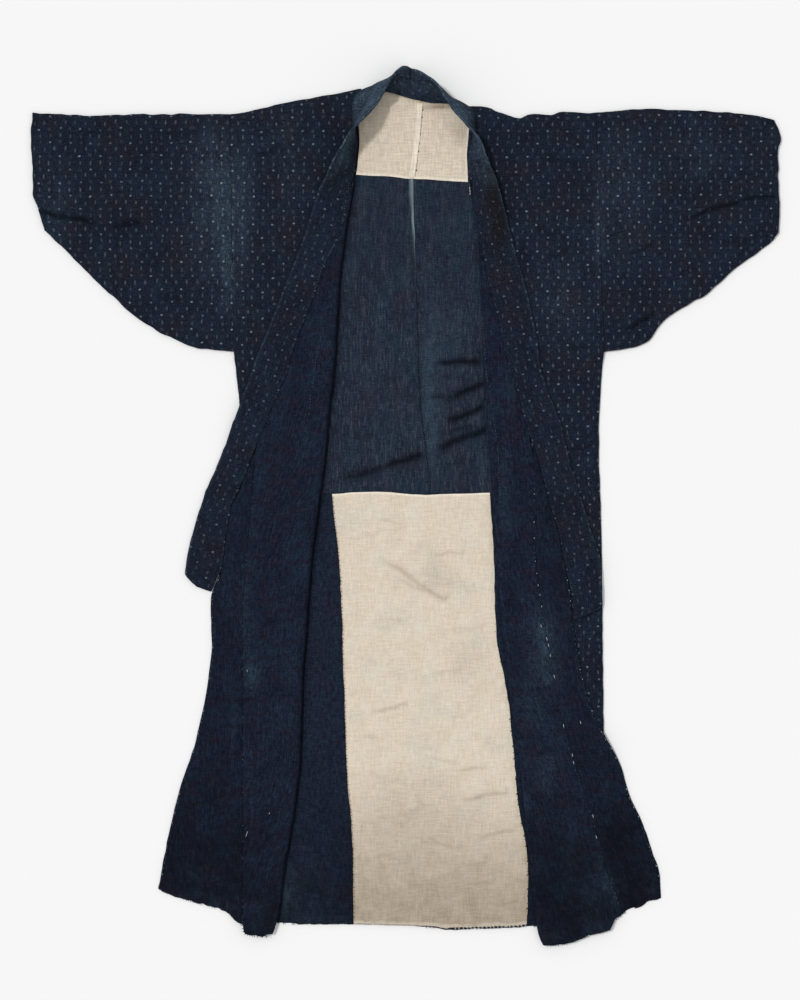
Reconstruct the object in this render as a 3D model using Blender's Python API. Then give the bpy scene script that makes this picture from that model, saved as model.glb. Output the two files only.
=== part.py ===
"""A noragi work jacket laid flat on its back, with both fronts folded open so that their linings show.

The frame: x runs across the jacket, y from hem to collar, z up from the surface that it lies on.
All tables and sizes are millimetres; the meshes are metres.
"""

import math

import bmesh
import bpy
import numpy as np

MM = 0.001

# Thickness of the cloths, the gap kept between pieces, and the band's finished width
SHELL = 1.2
LINING = 1.0
BAND = 3.5
BAND_WIDTH = 50.0
GAP = 0.3
PLY_GAP = 0.4

# Heights of each layer's middle where all of them lie on each other
Z_BACK = SHELL / 2
Z_BACK_LINING = SHELL + GAP + LINING / 2
Z_PATCH = Z_BACK_LINING + LINING + GAP
Z_UNDER_FRONT = SHELL + LINING + 2 * GAP
Z_FRONT = Z_UNDER_FRONT + LINING + GAP + SHELL / 2
LINING_OFFSET = SHELL / 2 + GAP + LINING / 2
SLEEVE_RISE = 2.2 * SHELL
SLEEVE_FRONT = Z_BACK + SLEEVE_RISE
Z_ON_FRONT = Z_FRONT + SHELL / 2 + PLY_GAP

# The soft loop of each inner fold stands this much higher than the plies that it joins
FOLD_LOOP_LEFT = 2.2
FOLD_LOOP_RIGHT = 0.8
FOLD_LOOP_REACH = 16.0

# How far each lining stops inside the shell at the sides and at the shoulder
BACK_LINING_INSET = 6.0
FRONT_LINING_INSET = 10.5
LINING_BELOW_SHOULDER = 22.0
LINING_ABOVE_HEM = 2.0
BACK_LINING_BELOW_TOP = 1.0
# The shoulder fold belongs to the front, which laps under as far as the back's top edge
SHOULDER_LAP = 5.0
BACK_BELOW_SHOULDER = 9.5
# A front dips to the back at the side seam; what lies past that seam drops to the floor
SIDE_DIP = 9.0
Z_DIPPED = 1.5 * SHELL + GAP
DIP_LENGTH = 30.0
DROP_START = 8.0
DROP_REACH = 20.0

# Rows of the fronts: a panel's rows start at these heights and bend to its own top and hem
TOP_REF = 640.0
TOP_BLEND_END = 525.0
HEM_BLEND_START = -540.0
HEM_REF = -670.0
STATIONS = (640, 600, 560, 520, 515, 510, 505, 500, 495, 490, 460, 425, 385, 340, 295, 246, 205, 165, 125,
            89, 45, 0, -50, -100, -134, -185, -255, -325, -385, -440, -510, -560, -615, -670)
BACK_ROWS = (640, 585, 530, 430, 340, 246, 165, 80, 0, -100, -200, -320, -440, -540, -605, -670)
# Between these heights the edge of a front curls over, where the band passes from the neck to the fold
CURL_TOP = 520.0
CURL_END = 490.0
FLANGE = 3.0
FLAT_TURN = 0.001
# The overlap starts here as a narrow tip
TIP = 89.0
TIP_START = 81.0
# Columns of the back's halves, as shares of the width from the outside to the centre or back
BACK_COLUMNS_LEFT = (0, 0.2, 0.4, 0.6, 0.72, 0.82, 0.9, 1)
BACK_COLUMNS_RIGHT = (0, 0.14, 0.25, 0.355, 0.466, 0.563, 0.78, 1)

# Columns x, y: the line of the shoulder fold and of the sleeve's top
SHOULDER_LEFT = ((-598, 628), (-498, 624), (-404, 626), (-281, 626), (-233, 635), (-188, 645),
                 (-138, 654), (-105, 660), (-70, 668))
SHOULDER_RIGHT = ((95, 640), (116, 638), (140, 633), (156, 628), (183, 620), (195, 624), (244, 629),
                  (293, 628), (338, 632), (383, 634), (481, 631), (562, 624), (591, 617))
# Columns y, x: the open edge of the cuff
CUFF_LEFT = ((628, -598), (590, -599), (550, -596.5), (497, -596), (476, -588), (441, -577))
CUFF_RIGHT = ((617, 591), (590, 599.7), (558, 596), (517, 596), (484, 598), (435, 597), (427, 591))
# Columns x, y: the slanted seam under the arm
UNDERARM_LEFT = ((-577, 441), (-563, 427), (-514, 378), (-473, 339), (-420, 294), (-371, 266),
                 (-330, 251.5), (-275, 246))
UNDERARM_RIGHT = ((318, 246), (367, 252.5), (383, 260), (415, 297), (452, 321), (481, 337),
                  (510, 364), (542, 390), (575, 413), (591, 427))
# Columns y, x: the straight armhole seam, and the side seam below it
ARMHOLE_LEFT = ((626, -281), (246, -275))
ARMHOLE_RIGHT = ((628, 305), (246, 318))
ARMPIT = 246.0
SIDE_LEFT = ((246, -275), (210, -271), (162, -266), (0, -265), (-300, -262), (-660, -255))
SIDE_RIGHT = ((246, 318), (215, 314), (103, 309), (0, 312), (-103, 314.5), (-290, 316), (-666, 324))
# Columns y, x: the seam down the middle of the back
CENTRE = ((650, 26), (521, 13), (340, 18), (212, 21), (126, 27.5), (25, 39), (-300, 36), (-676, 31))
# Columns x, y: the neck seam of the back
BACK_NECK = ((-75, 657), (-50, 659.5), (-33, 660.5), (-15, 655.5), (2, 650.5), (39, 642.5), (66, 640.5),
             (95, 632))
# Columns x, y: the hem of the back
BACK_HEM = ((-255, -660), (-186, -669.5), (-84, -669.5), (0, -671.5), (75, -679), (120, -677.5),
            (193, -674), (217, -673), (324, -666))
# Columns y, x: the neck edge of a front, then its inner fold down to the hem
FOLD_LEFT = ((668, -70), (645, -79), (625, -81), (593, -77), (560, -78), (526, -81.5), (441, -94.5),
             (353, -105), (222, -113), (162, -120), (62, -130), (-15, -141), (-103, -151), (-207, -159),
             (-324, -166), (-394, -167), (-481, -177), (-585, -194), (-660, -204), (-688, -214))
FOLD_RIGHT = ((639, 103), (617, 107), (599, 105), (553, 101), (514, 103), (452, 113), (345, 121),
              (234, 124), (158, 129), (22, 138), (-151, 151), (-279, 164), (-407, 182), (-567, 198),
              (-687, 213), (-704, 221))
# Columns y, x: the outer edge of a turned-back front, the band's seam and then the overlap's
TURNED_LEFT = ((490, -88), (465, -95), (425, -108), (385, -129), (345, -143), (272, -172), (236, -184),
               (198, -196), (142, -220), (89, -239), (52, -242), (-1, -246), (-87, -254), (-186, -260),
               (-671, -260))
TURNED_RIGHT = ((490, 107), (449, 116), (399, 126), (318, 144), (281, 153), (247, 160), (204, 174),
                (120, 195.5), (89, 202), (65, 205), (-44, 206), (-127, 212), (-212, 226), (-351, 252),
                (-492, 296), (-555, 314), (-655, 345))
# Columns y, x: the outer edge of an overlap, the band's seam and then its own free edge
OVERLAP_LEFT = ((89, -242), (55, -255), (26, -266), (-1, -279), (-30, -285.5), (-60, -289), (-110, -298),
                (-134, -308), (-151, -312), (-224, -310), (-262, -314), (-314, -322), (-383, -338),
                (-446, -359), (-498, -373), (-567, -387), (-614, -395.5))
OVERLAP_RIGHT = ((89, 209), (55, 218), (24, 226), (-54, 248), (-118, 260), (-150, 265), (-183, 266.5),
                 (-199, 270), (-262, 281), (-313, 294), (-367, 318), (-415, 344), (-466, 359),
                 (-503, 377), (-555, 395), (-588, 406), (-625, 409))
# Columns x, y: hems of the lower ply of a front, of its turned ply, and of the overlap
LOWER_HEM_LEFT = ((-265, -656), (-255, -660), (-235, -672), (-214, -686))
LOWER_HEM_RIGHT = ((221, -702), (260, -690), (324, -655))
TURNED_HEM_LEFT = ((-260, -671), (-256, -682), (-224, -689), (-214, -687))
TURNED_HEM_RIGHT = ((221, -704), (248, -702), (296, -686), (329, -677), (332, -665), (345, -655))
OVERLAP_HEM_LEFT = ((-395.5, -614), (-380, -621), (-338, -635), (-286, -650), (-276, -659), (-260, -671))
OVERLAP_HEM_RIGHT = ((345, -655), (359, -647), (390, -633), (409, -625))
# Columns y, x and x, y: the neck patch in two halves and the long patch below it
YOKE_LEFT_EDGE = ((655, -68), (625, -77), (593, -74), (560, -75.5), (529, -79))
YOKE_RIGHT_EDGE = ((636, 99), (617, 102), (599, 101.5), (553, 98.5), (516, 100.5))
YOKE_TOP = ((-79, 645), (-68, 656), (-50, 658.5), (-33, 659.5), (2, 650), (39, 642), (66, 640), (99, 633))
YOKE_BOTTOM = ((-81, 529), (-41, 527), (15, 522.5), (55, 520), (101, 517))
PATCH_LEFT = ((18, -117.5), (-30, -113), (-119, -104), (-290, -98.5), (-428, -93.5), (-532, -85),
              (-666, -83))
PATCH_RIGHT = ((20, 135), (-87, 141.5), (-199, 145), (-311, 164), (-383, 172), (-471, 180), (-580, 196),
               (-672, 194.5))
PATCH_TOP = ((-118, 18), (-57, 22), (39, 17), (71, 19), (135, 20))
PATCH_BOTTOM = ((-83, -666), (0, -667.5), (75, -675), (120, -674), (195, -671))

# Columns y, x: the band's folded edge where it lies flat on the fronts
EDGE_LEFT = ((-101, -353.5), (-57, -343.5), (-3, -329), (56, -305), (115, -281.5), (158, -266.5),
             (257, -229.5), (337, -197.5), (377, -183), (401, -172), (441, -157.5), (494, -141.5),
             (524, -124))
EDGE_RIGHT = ((500, 151), (451, 164), (395, 178.5), (330, 197.5), (262, 210), (198, 221.5), (142, 245.5),
              (123, 249.5), (-14, 288.5), (-47, 300), (-63, 309), (-110, 312.5), (-151, 314), (531, 140))
# Columns y, y: how much higher the folded edge is than the seam that it belongs to
SHIFT_LEFT = ((520, 7), (425, 15), (-100, 15))
SHIFT_RIGHT = ((520, 1), (425, 10), (-150, 12))
# Columns: seam x, seam y, folded edge x, edge y, bow outwards, height of what the band stands on
BAND_END_LEFT = ((-311.5, -137.5, -334, -130, 0, 5.7), (-309, -133.5, -344, -121, 0, 5.7),
                 (-304, -122, -353, -108, 0, 5.7))
BAND_NECK = (
    (-85, 520, -124, 527, 2, 5.7), (-80, 556, -99, 571, 2, 5.7), (-79, 580, -88, 588, 2, 5.7),
    (-81, 603, -75, 605, 2, 5.7), (-83, 625, -62, 623, 4, 5.7), (-81, 647, -48, 642, 8, 5.7),
    (-74, 659, -43, 649, 10, 5.7), (-62, 665, -40, 654, 13, 5.2), (-48, 665.5, -36, 661, 14, 3.0),
    (-33, 662.5, -29, 672, 14, 1.0), (-23, 659.5, -22, 683, 11, 0), (-13, 656.5, -13, 694, 7, 0),
    (-4, 654, -6, 700, 3, 0), (6, 651.5, 2, 701, 1, 0), (20, 648, 14, 697, 1, 0), (32, 645.5, 25, 690, 2, 0),
    (44, 643.5, 37, 680, 4, 0.2), (56, 642.5, 48, 668, 7, 0.8), (68, 642, 57, 657, 9, 2.0),
    (80, 641.5, 63, 648, 9, 3.6), (92, 640, 69, 641, 8, 5.2), (103, 635, 75, 631, 7, 5.7),
    (109, 620, 86, 618, 4, 5.7), (109, 603, 99, 603, 3, 5.7), (107, 589, 112, 590, 2, 5.7),
    (104, 572, 121, 574, 2, 5.7), (101, 553, 130, 553, 2, 5.7), (101, 530, 140, 531, 2, 5.7))
BAND_END_RIGHT = ((267, -152, 314, -146, 0, 5.7), (269.5, -170, 313, -159, 0, 5.7),
                  (270, -184, 300, -171, 0, 5.7))
BOW_LENGTH = 16 / 3
# Between these heights the band rises from lying flat to its full lean
BAND_RISE_START = 400.0
BAND_RISE_END = 500.0
BAND_BOW = 2.0
BAND_END_TOP = -134.0
BAND_SIDE_GAP = 0.5
BAND_LIFT = 0.35
# A band section whose floor is higher than this lies on a front, not on the neck or the table
ON_FRONT_LEVEL = 5.0

# Faces of each grid: along and across the patches, then across a front's lower ply, fold and turned ply
YOKE_FACES = (5, 4)
PATCH_FACES = (12, 4)
LOWER_FACES = 6
LOOP_FACES = 4
TURNED_FACES = 4
SHOULDER_FACES = 4
BAND_FACES = 5
SLEEVE_ROW_FACES = 8
SLEEVE_PLY_FACES = 5
SLEEVE_TURN_FACES = 4
# The turned ply's first columns lie at most this far from the fold, in mm and as a share of its width
FIRST_COLUMN = (12, 0.3)
SECOND_COLUMN = (26, 0.6)
# Least shares of width between the columns beside the place where a turned ply drops off the body
LEAST_STEP = 0.1
LAST_SHARE = 0.92
OVERLAP_FIRST = (0.25, 0.7)
OVERLAP_SECOND = (0.18, 0.88)
# The inner fold reaches its full loop this far below the curl
LOOP_SETTLES = 120.0
# Passes that settle a point on a curve which depends on its own place
PASSES = 8
SHARP_ANGLE = 50

# Colours and roughness of the cloths
DOTTED_INDIGO = ((0.012, 0.018, 0.035), 0.9)
COLLAR_INDIGO = ((0.013, 0.017, 0.03), 0.9)
PLAIN_INDIGO = ((0.011, 0.02, 0.045), 0.88)
SLUBBY_INDIGO = ((0.016, 0.028, 0.055), 0.88)
PALE_HEMP = ((0.72, 0.60, 0.44), 0.85)


def smooth(table):
    """Returns a curve through the rows (key, value) of a table that never overshoots between them."""
    rows = sorted(table)
    key = np.array([row[0] for row in rows], float)
    value = np.array([row[1] for row in rows], float)
    step = np.diff(key)
    rise = np.diff(value) / step
    slope = np.concatenate(([rise[0]], np.zeros(len(key) - 2), [rise[-1]]))
    for i in range(1, len(key) - 1):
        if rise[i - 1] * rise[i] > 0:
            slope[i] = 2 * rise[i - 1] * rise[i] / (rise[i - 1] + rise[i])

    def curve(at):
        at = np.clip(np.asarray(at, float), key[0], key[-1])
        i = np.clip(np.searchsorted(key, at, "right") - 1, 0, len(step) - 1)
        t = (at - key[i]) / step[i]
        start = value[i] * (1 + 2 * t) * (1 - t) ** 2 + slope[i] * step[i] * t * (1 - t) ** 2
        end = value[i + 1] * t * t * (3 - 2 * t) - slope[i + 1] * step[i] * t * t * (1 - t)
        return start + end

    return curve


def seam(table):
    """Returns a curve that is straight between the stations, so that pieces which share it fit."""
    curve = smooth(table)
    keys = [row[0] for row in table]
    stops = sorted({float(y) for y in STATIONS if min(keys) < y < max(keys)} | {min(keys), max(keys)})
    values = curve(stops)
    return lambda at: np.interp(at, stops, values)


def ease(t):
    """A soft step from 0 to 1."""
    t = np.clip(t, 0, 1)
    return t * t * (3 - 2 * t)


outward = {"left": -1, "right": 1}
body_side = {"left": seam(SIDE_LEFT), "right": seam(SIDE_RIGHT)}
armhole = {"left": seam(ARMHOLE_LEFT), "right": seam(ARMHOLE_RIGHT)}
fold = {"left": seam(FOLD_LEFT), "right": seam(FOLD_RIGHT)}
turned = {"left": seam(TURNED_LEFT), "right": seam(TURNED_RIGHT)}
overlap = {"left": seam(OVERLAP_LEFT), "right": seam(OVERLAP_RIGHT)}
shoulder = {"left": smooth(SHOULDER_LEFT), "right": smooth(SHOULDER_RIGHT)}
cuff = {"left": smooth(CUFF_LEFT), "right": smooth(CUFF_RIGHT)}
underarm = {"left": smooth(UNDERARM_LEFT), "right": smooth(UNDERARM_RIGHT)}
lower_hem = {"left": smooth(LOWER_HEM_LEFT), "right": smooth(LOWER_HEM_RIGHT)}
turned_hem = {"left": smooth(TURNED_HEM_LEFT), "right": smooth(TURNED_HEM_RIGHT)}
overlap_hem = {"left": smooth(OVERLAP_HEM_LEFT), "right": smooth(OVERLAP_HEM_RIGHT)}
fold_loop = {"left": FOLD_LOOP_LEFT, "right": FOLD_LOOP_RIGHT}
band_edge = {"left": smooth(EDGE_LEFT), "right": smooth(EDGE_RIGHT)}
band_shift = {"left": smooth(SHIFT_LEFT), "right": smooth(SHIFT_RIGHT)}
centre = smooth(CENTRE)
neck = smooth(BACK_NECK)
back_hem = smooth(BACK_HEM)


def side(y, hand):
    """The side of the body: the armhole seam, and below the armpit the side seam."""
    return float(armhole[hand](y)) if y > ARMPIT else float(body_side[hand](y))


def back_top(x):
    """The back's top edge: the neck seam, and below the shoulder fold on both sides of it."""
    if x < BACK_NECK[0][0]:
        return float(shoulder["left"](x)) - BACK_BELOW_SHOULDER
    if x > BACK_NECK[-1][0]:
        return float(shoulder["right"](x)) - BACK_BELOW_SHOULDER
    return float(neck(x))


def beyond_side(x, y, hand):
    """How far a point lies outside the body's side seam."""
    return outward[hand] * (x - side(y, hand))


def on_front(x, y, hand):
    """Height that a turned-back ply lies at: on the front, and down to the floor outside the body."""
    drop = min(max((beyond_side(x, y, hand) - DROP_START) / DROP_REACH, 0), 1)
    return Z_ON_FRONT * (1 - drop)


def place(station, x_at, top, bottom):
    """The point of a panel on one row and one column: the row bends to the panel's top and hem."""
    up = max((station - TOP_BLEND_END) / (TOP_REF - TOP_BLEND_END), 0)
    down = max((HEM_BLEND_START - station) / (HEM_BLEND_START - HEM_REF), 0)
    y = float(station)
    for _ in range(PASSES):
        x = x_at(y)
        y = station + (float(top(x)) - TOP_REF) * up + (float(bottom(x)) - HEM_REF) * down
    return x, y


def short_panel(left, right, top, bottom, faces):
    """Points of a patch whose rows run evenly from its top edge to its bottom edge."""
    across = np.linspace(0, 1, faces[1] + 1)[None, :]
    down = np.linspace(0, 1, faces[0] + 1)[:, None]
    y = top(0.0) * (1 - down) + bottom(0.0) * down + 0 * across
    for _ in range(PASSES):
        x = left(y) * (1 - across) + right(y) * across
        y = top(x) * (1 - down) + bottom(x) * down
    return x, y


def normals(points, closed):
    """Unit normals of a grid of points, with columns that may run round in a ring."""
    along = np.gradient(points, axis=0)
    if closed:
        across = np.roll(points, -1, axis=1) - np.roll(points, 1, axis=1)
    else:
        across = np.gradient(points, axis=1)
    normal = np.cross(along, across)
    return normal / np.linalg.norm(normal, axis=2, keepdims=True)


def solid(name, points, thickness, material, closed=False):
    """Makes one closed wall from a grid of its middle points and its thickness."""
    normal = normals(points, closed)
    rows, columns = points.shape[:2]
    faces_up = np.concatenate([points + normal * thickness / 2, points - normal * thickness / 2])
    mesh = bmesh.new()
    verts = [mesh.verts.new(p * MM) for p in faces_up.reshape(-1, 3)]

    def at(level, i, j):
        return verts[(level * rows + i) * columns + j % columns]

    last = columns if closed else columns - 1
    for i in range(rows - 1):
        for j in range(last):
            mesh.faces.new((at(0, i, j), at(0, i + 1, j), at(0, i + 1, j + 1), at(0, i, j + 1)))
            mesh.faces.new((at(1, i, j), at(1, i, j + 1), at(1, i + 1, j + 1), at(1, i + 1, j)))
    end = rows - 1
    for j in range(last):
        mesh.faces.new((at(0, 0, j), at(0, 0, j + 1), at(1, 0, j + 1), at(1, 0, j)))
        mesh.faces.new((at(0, end, j + 1), at(0, end, j), at(1, end, j), at(1, end, j + 1)))
    if not closed:
        for i in range(rows - 1):
            mesh.faces.new((at(0, i + 1, 0), at(0, i, 0), at(1, i, 0), at(1, i + 1, 0)))
            mesh.faces.new((at(0, i, last), at(0, i + 1, last), at(1, i + 1, last), at(1, i, last)))
    bmesh.ops.triangulate(mesh, faces=mesh.faces[:])
    if mesh.calc_volume(signed=True) < 0:
        bmesh.ops.reverse_faces(mesh, faces=mesh.faces[:])
    data = bpy.data.meshes.new(name)
    mesh.to_mesh(data)
    mesh.free()
    data.materials.append(material)
    data.shade_smooth()
    data.set_sharp_from_angle(angle=math.radians(SHARP_ANGLE))
    piece = bpy.data.objects.new(name, data)
    bpy.context.collection.objects.link(piece)
    return piece


def cloth(name, look):
    """A plain cloth material from its colour and roughness."""
    color, roughness = look
    material = bpy.data.materials.new(name)
    material.use_nodes = True
    shader = material.node_tree.nodes["Principled BSDF"]
    shader.inputs["Base Color"].default_value = (*color, 1)
    shader.inputs["Roughness"].default_value = roughness
    shader.inputs["Metallic"].default_value = 0
    return material


def stack(x, y, z):
    """Joins three grids into one grid of points."""
    return np.stack([x, y, np.broadcast_to(z, x.shape)], axis=2)


def back_panel(hand, inset, below_top, above_hem, height):
    """Points of one half of the back, or of its lining further in."""
    def edge(y):
        seam_gap = GAP / 2 if y > ARMPIT else 0
        return side(y, hand) - outward[hand] * (inset + seam_gap)

    def middle(y):
        return float(centre(y)) + outward[hand] * GAP / 2

    start, end = (edge, middle) if hand == "left" else (middle, edge)
    shares = BACK_COLUMNS_LEFT if hand == "left" else BACK_COLUMNS_RIGHT
    grid = []
    for station in BACK_ROWS:
        row = []
        for share in shares:
            x, y = place(station, lambda at: start(at) * (1 - share) + end(at) * share,
                         lambda at: back_top(at) - below_top, lambda at: back_hem(at) + above_hem)
            row.append((x, y, height))
        grid.append(row)
    return np.array(grid)


def back(hand, shell, lining):
    """Half of the back's outer cloth, flat on the floor, and half of its lining."""
    solid(f"back_{hand}", back_panel(hand, 0, 0, 0, Z_BACK), SHELL, shell)
    inner = back_panel(hand, BACK_LINING_INSET, BACK_LINING_BELOW_TOP, LINING_ABOVE_HEM, Z_BACK_LINING)
    solid(f"back_lining_{hand}", inner, LINING, lining)


def yoke(hand, material):
    """Half of the pale patch at the neck."""
    top, bottom = smooth(YOKE_TOP), smooth(YOKE_BOTTOM)
    if hand == "left":
        left, right = smooth(YOKE_LEFT_EDGE), lambda y: centre(y) - GAP / 2
    else:
        left, right = lambda y: centre(y) + GAP / 2, smooth(YOKE_RIGHT_EDGE)
    x, y = short_panel(left, right, top, bottom, YOKE_FACES)
    return solid(f"yoke_patch_{hand}", stack(x, y, Z_PATCH), LINING, material)


def lower_patch(material):
    """The long pale patch from the waist to the hem."""
    edges = smooth(PATCH_LEFT), smooth(PATCH_RIGHT), smooth(PATCH_TOP), smooth(PATCH_BOTTOM)
    x, y = short_panel(*edges, PATCH_FACES)
    return solid("lower_patch", stack(x, y, Z_PATCH), LINING, material)


def fold_radius(station, hand):
    """Radius of the outer cloth round the inner fold, softer further down."""
    return (SHELL + PLY_GAP + fold_loop[hand] * ease((CURL_END - station) / LOOP_SETTLES)) / 2


def curl(station):
    """Angle through which a front's edge is turned: none at the neck, a half turn below the curl."""
    return math.pi * min(max((CURL_TOP - station) / (CURL_TOP - CURL_END), 0), 1)


def loop_start(y, station, hand):
    """Where a front's lower ply ends and its fold, or the last strip of its neck edge, begins."""
    radius = fold_radius(station, hand)
    flat = math.pi * radius + FLANGE
    folded = SHELL / 2 + GAP + LINING + radius
    share = curl(station) / math.pi
    return float(fold[hand](y)) + outward[hand] * (flat * (1 - share) + folded * share)


def front_edge(x0, station, hand):
    """Where the turned ply of a front ends, at least a narrow flange outside the fold."""
    table = float(turned[hand](station))
    width = max(outward[hand] * (table - x0), FLANGE)
    return x0 + outward[hand] * width


def moved_along(row, neighbour, distance):
    """A row of points moved towards the next one, each along its own line."""
    step = neighbour - row
    return row + step * (distance / np.abs(step[:, 1:2]))


def front_sections(hand):
    """Middle points of a front and of its lining, row by row: lower ply, inner fold and turned ply.

    At the neck nothing is turned: there the fold and the turned ply are a narrow flat strip at the edge.
    """
    way = -outward[hand]
    shell_rows, lining_rows = [], []
    for station in STATIONS:
        radius = fold_radius(station, hand)
        angle = max(curl(station), FLAT_TURN)
        bend = math.pi * radius / angle

        def lower_x(y, k):
            seam_gap = GAP / 2 if y > ARMPIT else 0
            start = side(y, hand) + way * seam_gap
            if k == 0:
                return start
            width = way * (loop_start(y, station, hand) - start)
            return start + way * (SIDE_DIP + (width - SIDE_DIP) * (k - 1) / (LOWER_FACES - 1))

        row = []
        for k in range(LOWER_FACES + 1):
            x, y = place(station, lambda at: lower_x(at, k), shoulder[hand], lower_hem[hand])
            z = Z_FRONT
            if k == 0:
                z -= float(ease((ARMPIT - y) / DIP_LENGTH)) * (Z_FRONT - Z_DIPPED)
            row.append((x, y, z))
        x0, y0, z0 = row[-1]
        inset_x, inset_y = place(station, lambda at: lower_x(at, 0) + way * FRONT_LINING_INSET,
                                 lambda at: shoulder[hand](at) - LINING_BELOW_SHOULDER, lower_hem[hand])
        inner = [(inset_x, inset_y, z0 - LINING_OFFSET), (x0, y0, z0 - LINING_OFFSET)]
        outer_bend = bend + LINING_OFFSET
        for k in range(1, LOOP_FACES + 1):
            turn = angle * k / LOOP_FACES
            row.append((x0 + way * bend * math.sin(turn), y0, z0 + bend * (1 - math.cos(turn))))
            inner_z = z0 + bend - outer_bend * math.cos(turn)
            inner.append((x0 + way * outer_bend * math.sin(turn), y0, inner_z))
        if station >= CURL_END:
            for k in range(1, TURNED_FACES + 1):
                run = FLANGE * k / TURNED_FACES
                step = np.array([way * math.cos(angle) * run, 0, math.sin(angle) * run])
                row.append(tuple(np.array(row[LOWER_FACES + LOOP_FACES]) + step))
                inner.append(tuple(np.array(inner[1 + LOOP_FACES]) + step))
        else:
            edge = front_edge(x0, station, hand) + way * GAP / 2
            width = way * (x0 - edge)
            bend_at = way * (x0 - side(y0, hand)) + DROP_START
            first = min(FIRST_COLUMN[0], FIRST_COLUMN[1] * width)
            second = min(SECOND_COLUMN[0], SECOND_COLUMN[1] * width)
            third = min(max(bend_at, second + LEAST_STEP * width), LAST_SHARE * width)
            down = max((HEM_BLEND_START - station) / (HEM_BLEND_START - HEM_REF), 0)
            for run in (first, second, third, width):
                x = x0 - way * run
                y = station + (float(turned_hem[hand](x)) - HEM_REF) * down
                y += (y0 - y) * float(1 - ease(run / width))
                lift = (2 * radius - SHELL - PLY_GAP) * math.exp(-(run / FOLD_LOOP_REACH) ** 2)
                z = on_front(x, y, hand) + SHELL / 2 + lift
                row.append((x, y, z))
                inner.append((x, y, z + LINING_OFFSET))
        shell_rows.append(row)
        lining_rows.append(inner)
    points, inner = np.array(shell_rows), np.array(lining_rows)
    inner[0, 1:] = moved_along(inner[0, 1:], inner[1, 1:], LINING_BELOW_SHOULDER)
    inner[-1] = moved_along(inner[-1], inner[-2], LINING_ABOVE_HEM)
    return points, inner


def shoulder_turn(points):
    """Adds the rows that carry a front over the shoulder and a little way under the back."""
    reach = (Z_FRONT - Z_BACK) / 2
    crown = points[0].copy()
    crown[:, 1] -= SHELL / 2 + reach
    rows = []
    for turn in np.linspace(0, math.pi, SHOULDER_FACES + 1):
        row = crown.copy()
        row[:, 1] += reach * math.sin(turn)
        row[:, 2] = Z_BACK + reach * (1 + math.cos(turn))
        rows.append(row)
    lap = rows[-1].copy()
    lap[:, 1] -= SHOULDER_LAP
    rows.append(lap)
    return np.concatenate([np.array(rows[::-1]), points[1:]])


def front(hand, shell, lining):
    """A front's outer cloth and its lining."""
    points, inner = front_sections(hand)
    solid(f"front_{hand}", shoulder_turn(points), SHELL, shell)
    solid(f"front_lining_{hand}", inner, LINING, lining)


def overlap_pieces(hand, shell, lining):
    """The overlap sewn to the turned front's edge, on the same rows, and its lining."""
    way = outward[hand]
    lowest = (OVERLAP_LEFT if hand == "left" else OVERLAP_RIGHT)[-1][0]
    grid = []
    for station in (TIP_START, *(y for y in STATIONS if y < TIP_START)):
        down = max((HEM_BLEND_START - station) / (HEM_BLEND_START - HEM_REF), 0)
        start = float(turned[hand](station)) + way * GAP / 2
        width = way * (float(overlap[hand](station)) - start)
        for _ in range(PASSES):
            y = station + (float(overlap_hem[hand](start + way * width)) - HEM_REF) * down
            width = way * (float(overlap[hand](max(y, lowest))) - start)
        bend_at = way * (side(station, hand) - start) + DROP_START
        first = min(max(bend_at, OVERLAP_FIRST[0] * width), OVERLAP_FIRST[1] * width)
        dropped = max(bend_at + DROP_REACH, first + OVERLAP_SECOND[0] * width)
        second = min(dropped, OVERLAP_SECOND[1] * width)
        row = []
        for run in (0, first, second, width):
            x = start + way * run
            y = station + (float(overlap_hem[hand](x)) - HEM_REF) * down
            row.append((x, y, on_front(x, y, hand) + SHELL / 2))
        grid.append(row)
    points = np.array(grid)
    solid(f"overlap_{hand}", points, SHELL, shell)
    upper = points.copy()
    upper[:, :, 2] += LINING_OFFSET
    upper[-1] = moved_along(upper[-1], upper[-2], LINING_ABOVE_HEM)
    solid(f"overlap_lining_{hand}", upper, LINING, lining)


def band_foot(station, hand):
    """Where the band's seam runs on a front: along the turned ply, and below the tip along the overlap."""
    if station <= TIP:
        seam_x = float(overlap[hand](station))
    else:
        x0 = loop_start(station, station, hand)
        angle = curl(station)
        seam_x = front_edge(x0, station, hand)
        if station > CURL_END:
            bend = math.pi * fold_radius(station, hand) / angle
            tip = x0 - outward[hand] * (bend * math.sin(angle) + FLANGE * math.cos(angle))
            far = max(outward[hand] * tip, outward[hand] * x0)
            seam_x = outward[hand] * (far + SHELL / 2)
    return seam_x + outward[hand] * BAND_SIDE_GAP


def band_side(hand):
    """Sections of the band on a front, from the overlap up to the curl."""
    rows = []
    for station in sorted(y for y in STATIONS if BAND_END_TOP < y < CURL_TOP):
        edge_y = station + float(band_shift[hand](station))
        rise = float(ease((station - BAND_RISE_START) / (BAND_RISE_END - BAND_RISE_START)))
        rows.append((band_foot(station, hand), station, float(band_edge[hand](edge_y)), edge_y,
                     BAND_BOW * rise, Z_ON_FRONT, rise))
    return rows


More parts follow.
